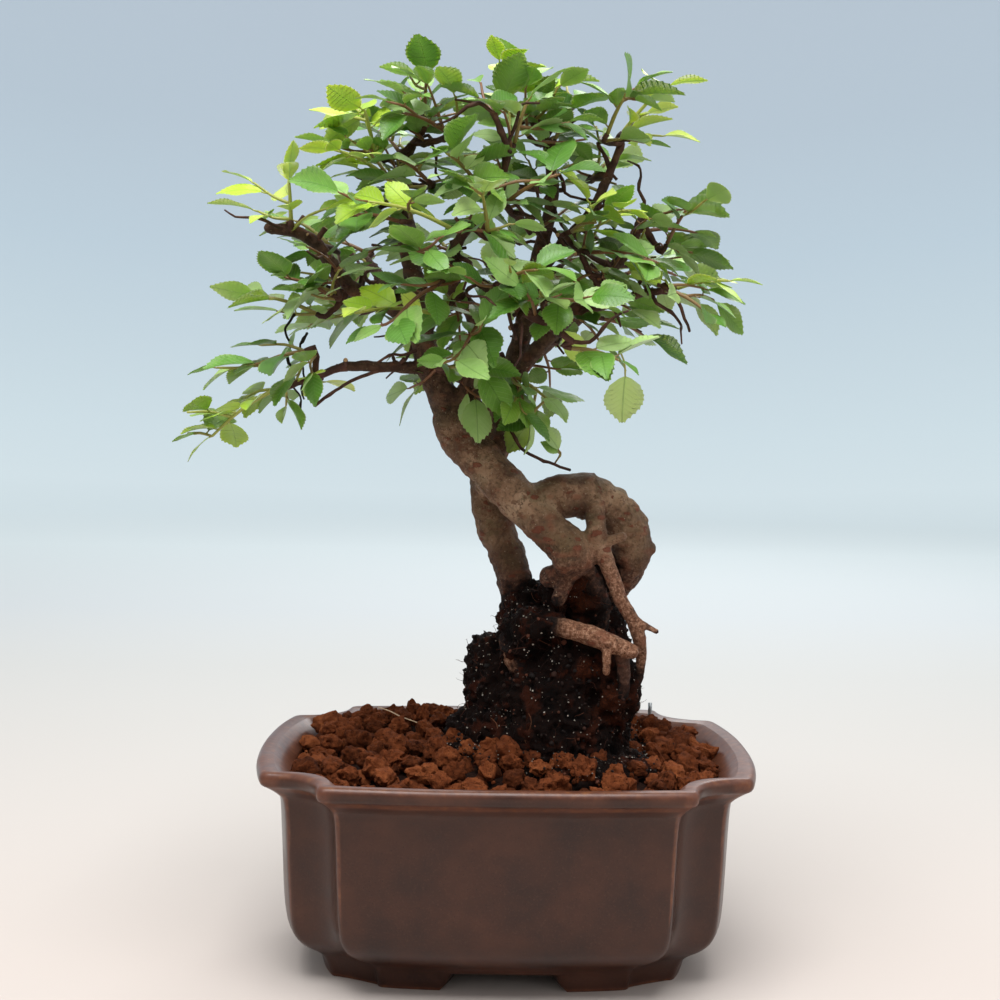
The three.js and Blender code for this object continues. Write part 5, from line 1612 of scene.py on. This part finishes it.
def build_shoots():
    """The shoots of the solids with their real leaves, and every leaf's middle."""
    draws = seeded(SEED + 7)
    rng = np.random.default_rng(SEED + 3)
    shapes, middles = [], []
    for limb, joint, foot, tip, kind, digits in SHOOTS:
        shape = Shape()
        path = stem_path(foot, tip, kind)
        age = rng.uniform(*AGES[kind])
        add_stem(shape, *along_stem(path), age)
        for i, digit in enumerate(digits):
            last = i == len(digits) - 1
            side = 0 if last else (-1 if i % 2 else 1)
            share = TIP_LEAF if last else FIRST_LEAF + LEAF_SPAN * i / max(1, len(digits) - 2)
            draw = {key: next(draws) for key in DRAWS}
            if digit == "." and not last:
                continue
            swing = 0 if digit == "." else SWINGS[int(digit)]
            size = (SIZES[0] + SIZES[1] * draw["size"]) * (YOUNG_SIZE if kind == "young" else 1)
            size *= SMALL_TIP if digit == "." else 1
            place, run, normal, radius = leaf_at(path, share, side, draw, swing)
            length = LEAF_LENGTH * size
            width = LEAF_WIDTH * size * (WIDTHS[0] + WIDTHS[1] * draw["spread"])
            run, normal = lifted(rng, run, normal, rng.uniform(*TO_THE_SKY))
            width *= rng.uniform(*SLIMMER_LEAVES)
            leaf_age = np.clip(age + rng.normal() * AGE_DRAW, 0, 1)
            add_leaf(rng, shape, place, run, normal, radius, length, width, leaf_age)
            middles.append(place + run * length * MIDDLE)
        shapes.append((shape, kind))
    return shapes, np.array(middles)


# Spurs that bear the leaves between the shoots: their length, radii, how they lean outwards, and their
# leaves.
SPUR_LENGTH = (5, 15)
SPUR_RADII = (0.62, 0.5, 0.38)
SPUR_OUTWARD = 0.75
SPUR_FIRST_LEAF = 0.3
SPUR_LEAF_SPAN = 0.6
SPURS_ABOVE = 168
SPUR_WOOD = 2.4
BOX_MARGIN = 1.5
# Their leaves: sizes, widths, how far each is turned to the sky, and how many spurs of young shoots are
# young.
SPUR_SIZES = (0.55, 0.5)
SPUR_WIDTHS = (0.7, 0.25)
SPUR_TO_THE_SKY = (0.2, 0.9)
YOUNG_SPURS = 0.6
SPUR_AGES = {True: (0.05, 0.35), False: (0.5, 1.0)}


def spur_origins():
    """Places that can bear a spur, each with its radius and age. Those on twigs count twice."""
    origins = []
    for limb, joint, foot, tip, kind, _ in SHOOTS:
        points, radii = along_curve(twig_path(limb, joint, foot, tip, kind), 3.0)
        origins += [(p, r, kind) for p, r in zip(points[1:], radii[1:])] * 2
        points, radii = along_curve(stem_path(foot, tip, kind), 4.0)
        origins += [(p, r, kind) for p, r in zip(points, radii)]
    for path in leafy_limbs():
        points, radii = along_curve(path, 5.0)
        origins += [(p, r, "mature") for p, r in zip(points, radii) if p[2] > SPURS_ABOVE and r < SPUR_WOOD]
    return origins


def spur_path(rng, origin, radius):
    """A short bent spur that leans out of the crown."""
    outward = unit(origin - CANOPY_CENTRE)
    direction = unit(rng.normal(size=3) * [0.9, 0.9, 0.5] + outward * SPUR_OUTWARD + UP * 0.1)
    length = rng.uniform(*SPUR_LENGTH)
    end = origin + direction * length
    bend = unit(np.cross(direction, rng.normal(size=3))) * length * 0.08
    base, middle, tip = SPUR_RADII
    return [(*origin, min(radius, base)), (*(mixed(origin, end, 0.5) + bend), middle), (*end, tip)]


def build_infill(middles):
    """The leaves that stand between the shoots, on short spurs, in two shapes."""
    rng = np.random.default_rng(SEED + 4)
    origins = spur_origins()
    spots = middles.copy()
    shapes = [Shape(), Shape()]
    leaves = 0
    low, high = CAD_LOW - BOX_MARGIN, CAD_HIGH + BOX_MARGIN
    for index in rng.permutation(len(origins)):
        if leaves >= INFILL_LEAVES:
            break
        origin, radius, kind = origins[index]
        path = spur_path(rng, origin, radius)
        count = int(rng.integers(2, 5))
        planned = []
        for i in range(count):
            last = i == count - 1
            side = 0 if last else (-1 if i % 2 else 1)
            share = TIP_LEAF if last else SPUR_FIRST_LEAF + SPUR_LEAF_SPAN * i / max(1, count - 1)
            draw = {key: rng.random() for key in DRAWS}
            size = SPUR_SIZES[0] + SPUR_SIZES[1] * draw["size"]
            place, run, normal, r = leaf_at(path, share, side, draw, rng.normal() * 0.4)
            run, normal = lifted(rng, run, normal, rng.uniform(*SPUR_TO_THE_SKY))
            middle = place + run * LEAF_LENGTH * size * MIDDLE
            end = place + run * LEAF_LENGTH * size
            if (end < low).any() or (end > high).any() or end[2] < LOWEST_LEAF:
                continue
            if ((spots - middle) ** 2).sum(axis=1).min() < LEAF_SPACING**2:
                continue
            width = LEAF_WIDTH * size * (SPUR_WIDTHS[0] + SPUR_WIDTHS[1] * draw["spread"])
            planned.append((middle, (place, run, normal, r, LEAF_LENGTH * size, width)))
        if len(planned) < 2:
            continue
        age = rng.uniform(*SPUR_AGES[kind == "young" and rng.random() < YOUNG_SPURS])
        shape = shapes[leaves % 2]
        add_stem(shape, *along_stem(path), age)
        for middle, leaf in planned:
            add_leaf(rng, shape, *leaf, np.clip(age + rng.normal() * AGE_DRAW, 0, 1))
            spots = np.vstack([spots, middle])
            leaves += 1
    return shapes


def leaf_finish(name, glow):
    f = Finish(name, roughness=0.4, specular_ior_level=0.5, subsurface_weight=glow, subsurface_scale=0.0008,
               subsurface_radius=(0.8, 1.0, 0.25))
    age = f.value("age")
    wide = f.math("ABSOLUTE", f.value("v"))
    cloud = f.noise(6, 3)
    share = f.weighted((cloud, 0.35), (f.value("tint"), 0.75))
    # Painted sheen: the palest grey-green stop, a8c97e, stands for the sheen on the leaves that draw it; the
    # darker stops are the leaves' own greens.
    grown = f.ramp(share, (0.14, "3c621c"), (0.38, "578a2d"), (0.6, "79aa45"), (0.86, "a8c97e"))
    fresh = f.ramp(share, (0.2, "96be26"), (0.5, "b4d438"), (0.85, "d4e86e"))
    colour = f.mix(f.between(age, 0.2, 0.62), fresh, grown)
    side_vein = f.math("PINGPONG", f.math("SUBTRACT", f.value("u"), f.times(wide, 0.26)), 0.055)
    vein = f.between(side_vein, 0.010, 0.002)
    midrib = f.between(wide, 0.05, 0.015)
    colour = f.mix(f.times(vein, 0.2), colour, "a9c67c")
    colour = f.mix(f.times(midrib, 0.4), colour, "47702a")
    colour = f.marked(colour, ("below", 0.5, "93b06a"))
    colour = f.flecked(colour, (wide, 0.9, 1.0, 0.35, "b3c878"))
    stems = f.mix(f.between(age, 0.3, 0.9), "a3a850", "7a5236")
    sunk = f.math("MAXIMUM", f.times(vein, 0.5), midrib)
    height = f.weighted((f.noise(0.35, 2), 0.25), (sunk, -1))
    return f.done(f.marked(colour, ("stem", 1, stems)), f.bump(height, 0.14, 0.7),
                  f.between(cloud, 0.3, 0.7, 0.33, 0.5))


def build_lone_leaves():
    """The few leaves that hang by themselves below the crown."""
    rng = np.random.default_rng(SEED + 5)
    shape = Shape()
    for stalk, tip, facing, width, age in LONE_LEAVES:
        stalk = np.array(stalk, float)
        along = np.array(tip) - stalk[-1]
        run = unit(along)
        add_stem(shape, *along_curve([(*p, LONE_STALK) for p in stalk], 1.5), STEM_SIDES, age)
        normal = unit(np.array(facing, float) - run * np.dot(facing, run))
        add_leaf(rng, shape, stalk[-1], run, normal, 0.2, np.linalg.norm(along), width, age)
    return shape


# The wire and the nets.
def build_wire():
    """The tie wire along its way, with its bends rounded."""
    corners = np.array(WIRE_PATH, float)
    route = []
    for a, b in zip(corners[:-1], corners[1:]):
        count = max(2, int(np.linalg.norm(b - a) / 2))
        route += [a + (b - a) * s for s in np.linspace(0, 1, count, endpoint=False)]
    route = np.array(route + [corners[-1]])
    for _ in range(3):
        route[1:-1] = (route[:-2] + 2 * route[1:-1] + route[2:]) / 4
    wire = Shape()
    tube(wire, route, np.full(len(route), WIRE_RADIUS), 12, dome=0.3)
    return mesh_from("tie_wire_round", wire)


def metal():
    f = Finish("wire_metal", metallic=0.85, roughness=0.38)
    scuffs = f.noise(1.2, 4)
    return f.done(f.ramp(scuffs, (0.3, "8e9396"), (0.7, "b9bdbf")), f.bump(scuffs, 0.1, 0.6),
                  f.between(scuffs, 0.3, 0.7, 0.3, 0.5))


def netting():
    f = Finish("netting", roughness=0.55, specular_ior_level=0.4)
    grain = f.noise(1.5, 3)
    return f.done(f.ramp(grain, (0.3, "17191c"), (0.7, "2b3035")), f.bump(grain, 0.15, 0.6))


# The camera, the light and the floor, whose sizes are in metres.
FLOOR_FLAT = 1.6
FLOOR_RISE = 0.9
FLOOR_SIDES = 72
FLOOR_RINGS = 5
RISE_RINGS = 15
# How far the backdrop's colours reach, and how it changes with the height beside the distance.
BACKDROP_REACH = 4.2
BACKDROP_HEIGHT = 2.0
# From the floor under the pot to the top of what rises behind it: how far, the colour and its glow, which is
# painted light.
BACKDROP = [
    (0.0, (0.585, 0.525, 0.485), (0.0, 0.0, 0.0)), (0.07, (0.56, 0.545, 0.52), (0.0, 0.0, 0.0)),
    (0.11, (0.56, 0.565, 0.55), (0.0, 0.0, 0.0)), (0.165, (0.57, 0.59, 0.595), (0.02, 0.04, 0.05)),
    (0.27, (0.5, 0.53, 0.54), (0.23, 0.28, 0.29)), (0.43, (0.4, 0.42, 0.43), (0.37, 0.45, 0.48)),
    (0.51, (0.4, 0.42, 0.43), (0.34, 0.43, 0.47)), (0.6, (0.4, 0.42, 0.43), (0.3, 0.39, 0.44)),
    (0.74, (0.4, 0.42, 0.43), (0.24, 0.33, 0.4)), (0.88, (0.4, 0.42, 0.43), (0.21, 0.28, 0.35)),
    (1.0, (0.4, 0.42, 0.43), (0.21, 0.27, 0.34)),
]
SKY = (0.97, 0.98, 1.0)
SKY_STRENGTH = 0.6
# Square lights aimed at the tree: name, place, power and size.
LIGHTS = [
    ("key", (-0.08, -0.38, 1.12), 15.0, 0.75), ("fill", (0.85, -0.55, 0.45), 1.2, 0.8),
    ("back", (0.25, 0.9, 0.8), 4.0, 0.6),
]
LIGHTS_AIM = Vector((0.01, 0, 0.12))


def camera_axes():
    """The camera's place, and its right, up and forward."""
    sy, cy = math.sin(CAMERA_YAW), math.cos(CAMERA_YAW)
    sp, cp = math.sin(CAMERA_PITCH), math.cos(CAMERA_PITCH)
    forward = np.array([sy * cp, cy * cp, -sp])
    right = np.array([cy, -sy, 0.0])
    up = np.cross(right, forward)
    cr, sr = math.cos(CAMERA_ROLL), math.sin(CAMERA_ROLL)
    place = np.array([0, 0, CAMERA_AIM_Z]) + right * CAMERA_SIDE - forward * CAMERA_DISTANCE
    return place, cr * right + sr * up, -sr * right + cr * up, forward


def set_camera():
    place, right, up, forward = camera_axes()
    data = bpy.data.cameras.new("camera")
    data.lens = CAMERA_LENS
    data.sensor_width = SENSOR
    data.sensor_fit = "HORIZONTAL"
    data.clip_start = 0.01
    turned = Matrix((right, up, -forward)).transposed().to_4x4()
    turned.translation = Vector((place + POT_CENTRE) * MM)
    camera = linked("camera", data)
    camera.matrix_world = turned
    bpy.context.scene.camera = camera


def set_floor():
    """A pale floor that rises far off on every side, so that no edge of it shows, and whose glow, painted
    light, grows further off.
    """
    bend = np.linspace(0, math.pi / 2, RISE_RINGS + 1)[1:]
    flat = np.linspace(0.0, FLOOR_FLAT, FLOOR_RINGS + 1)[1:]
    radii = np.concatenate([flat, FLOOR_FLAT + FLOOR_RISE * np.sin(bend)])
    rise = np.concatenate([np.zeros(FLOOR_RINGS), FLOOR_RISE * (1 - np.cos(bend))])
    angles = np.arange(FLOOR_SIDES) * 2 * math.pi / FLOOR_SIDES
    points = [[0, 0, 0]]
    for r, z in zip(radii, rise):
        points.append(np.column_stack([r * np.cos(angles), r * np.sin(angles), np.full(FLOOR_SIDES, z)]))
    k = np.arange(FLOOR_SIDES)
    middle = np.stack([np.zeros(FLOOR_SIDES, int), 1 + k, 1 + (k + 1) % FLOOR_SIDES], axis=1)
    shape = Shape()
    shape.add(np.vstack(points) / MM - POT_CENTRE, 1 + strips(len(radii), FLOOR_SIDES)[:, FACING_IN], middle)
    mesh = mesh_from("floor", shape)
    mesh.polygons.foreach_set("use_smooth", np.ones(len(mesh.polygons), bool))
    floor = linked("floor", mesh)
    f = Finish("floor", roughness=0.85, specular_ior_level=0.1)
    parts = f.nodes.new("ShaderNodeSeparateXYZ")
    f.put(parts.inputs[0], f.place)
    far = f.math("MULTIPLY_ADD", parts.outputs["Z"], BACKDROP_HEIGHT, parts.outputs["Y"])
    far = f.math("MULTIPLY_ADD", f.noise(400, 2), 0.01, f.times(far, 1 / BACKDROP_REACH))
    # Painted light: the backdrop glows, more where it lies further off and rises behind.
    f.put(f.shader.inputs["Emission Color"], f.ramp(far, *[(at, glow) for at, _, glow in BACKDROP]))
    f.put(f.shader.inputs["Emission Strength"], 1.0)
    mesh.materials.append(f.done(f.ramp(far, *[(at, colour) for at, colour, _ in BACKDROP])))


def set_light():
    world = bpy.data.worlds.new("sky")
    world.use_nodes = True
    sky = world.node_tree.nodes["Background"]
    sky.inputs["Color"].default_value = (*SKY, 1)
    sky.inputs["Strength"].default_value = SKY_STRENGTH
    bpy.context.scene.world = world
    for name, place, power, size in LIGHTS:
        data = bpy.data.lights.new(name, "AREA")
        data.energy = power
        data.size = size
        light = linked(name, data)
        turned = (LIGHTS_AIM - Vector(place)).to_track_quat("-Z", "Y").to_matrix().to_4x4()
        turned.translation = place
        light.matrix_world = turned


# All of it.
bpy.context.scene.view_settings.view_transform = "Standard"
set_camera()
set_floor()
set_light()

piece("pot_glazed", build_pot(), glaze(), ["pot"])
top_grains, low_grains, shade_sheet = build_granules()
clay_finish = clay()
piece("clay_granules", top_grains, clay_finish, ["granules"], GRAIN_CREASE)
piece("clay_crumbs", low_grains, clay_finish, (), GRAIN_CREASE)
piece("bed_shade_sheet", shade_sheet, dark_soil())
ball, bits, hairs = build_ball()
piece("root_ball_peat", ball, peat(), ["root_ball"])
piece("ball_bits", bits, peat_bits())
piece("ball_hairs", hairs, root_hair())
skin, twigs = build_wood()
piece("tree_bark", skin, bark(), ["tree_wood"])
piece("twigs", twigs, twig_bark())
piece("tie_wire_round", build_wire(), metal(), ["tie_wire"])
net_finish = netting()
for name in ("drain_net_left", "drain_net_right"):
    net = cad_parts[name]
    net.data.materials.clear()
    net.data.materials.append(net_finish)

leaf_finishes = {"young": leaf_finish("young_leaves", 0.3), "mature": leaf_finish("mature_leaves", 0.14)}


def leaf_piece(name, shape, kind, replaced=()):
    piece(name, mesh_from(name, shape), leaf_finishes[kind], replaced, LEAF_CREASE)


shoots, leaf_middles = build_shoots()
for i, (shape, kind) in enumerate(shoots, 1):
    leaf_piece(f"leaves_{i:02d}", shape, kind, [f"shoot_{i:02d}"])
for i, shape in enumerate(build_infill(leaf_middles), 1):
    leaf_piece(f"inner_leaves_{i}", shape, "mature")
leaf_piece("lone_leaves", build_lone_leaves(), "mature")
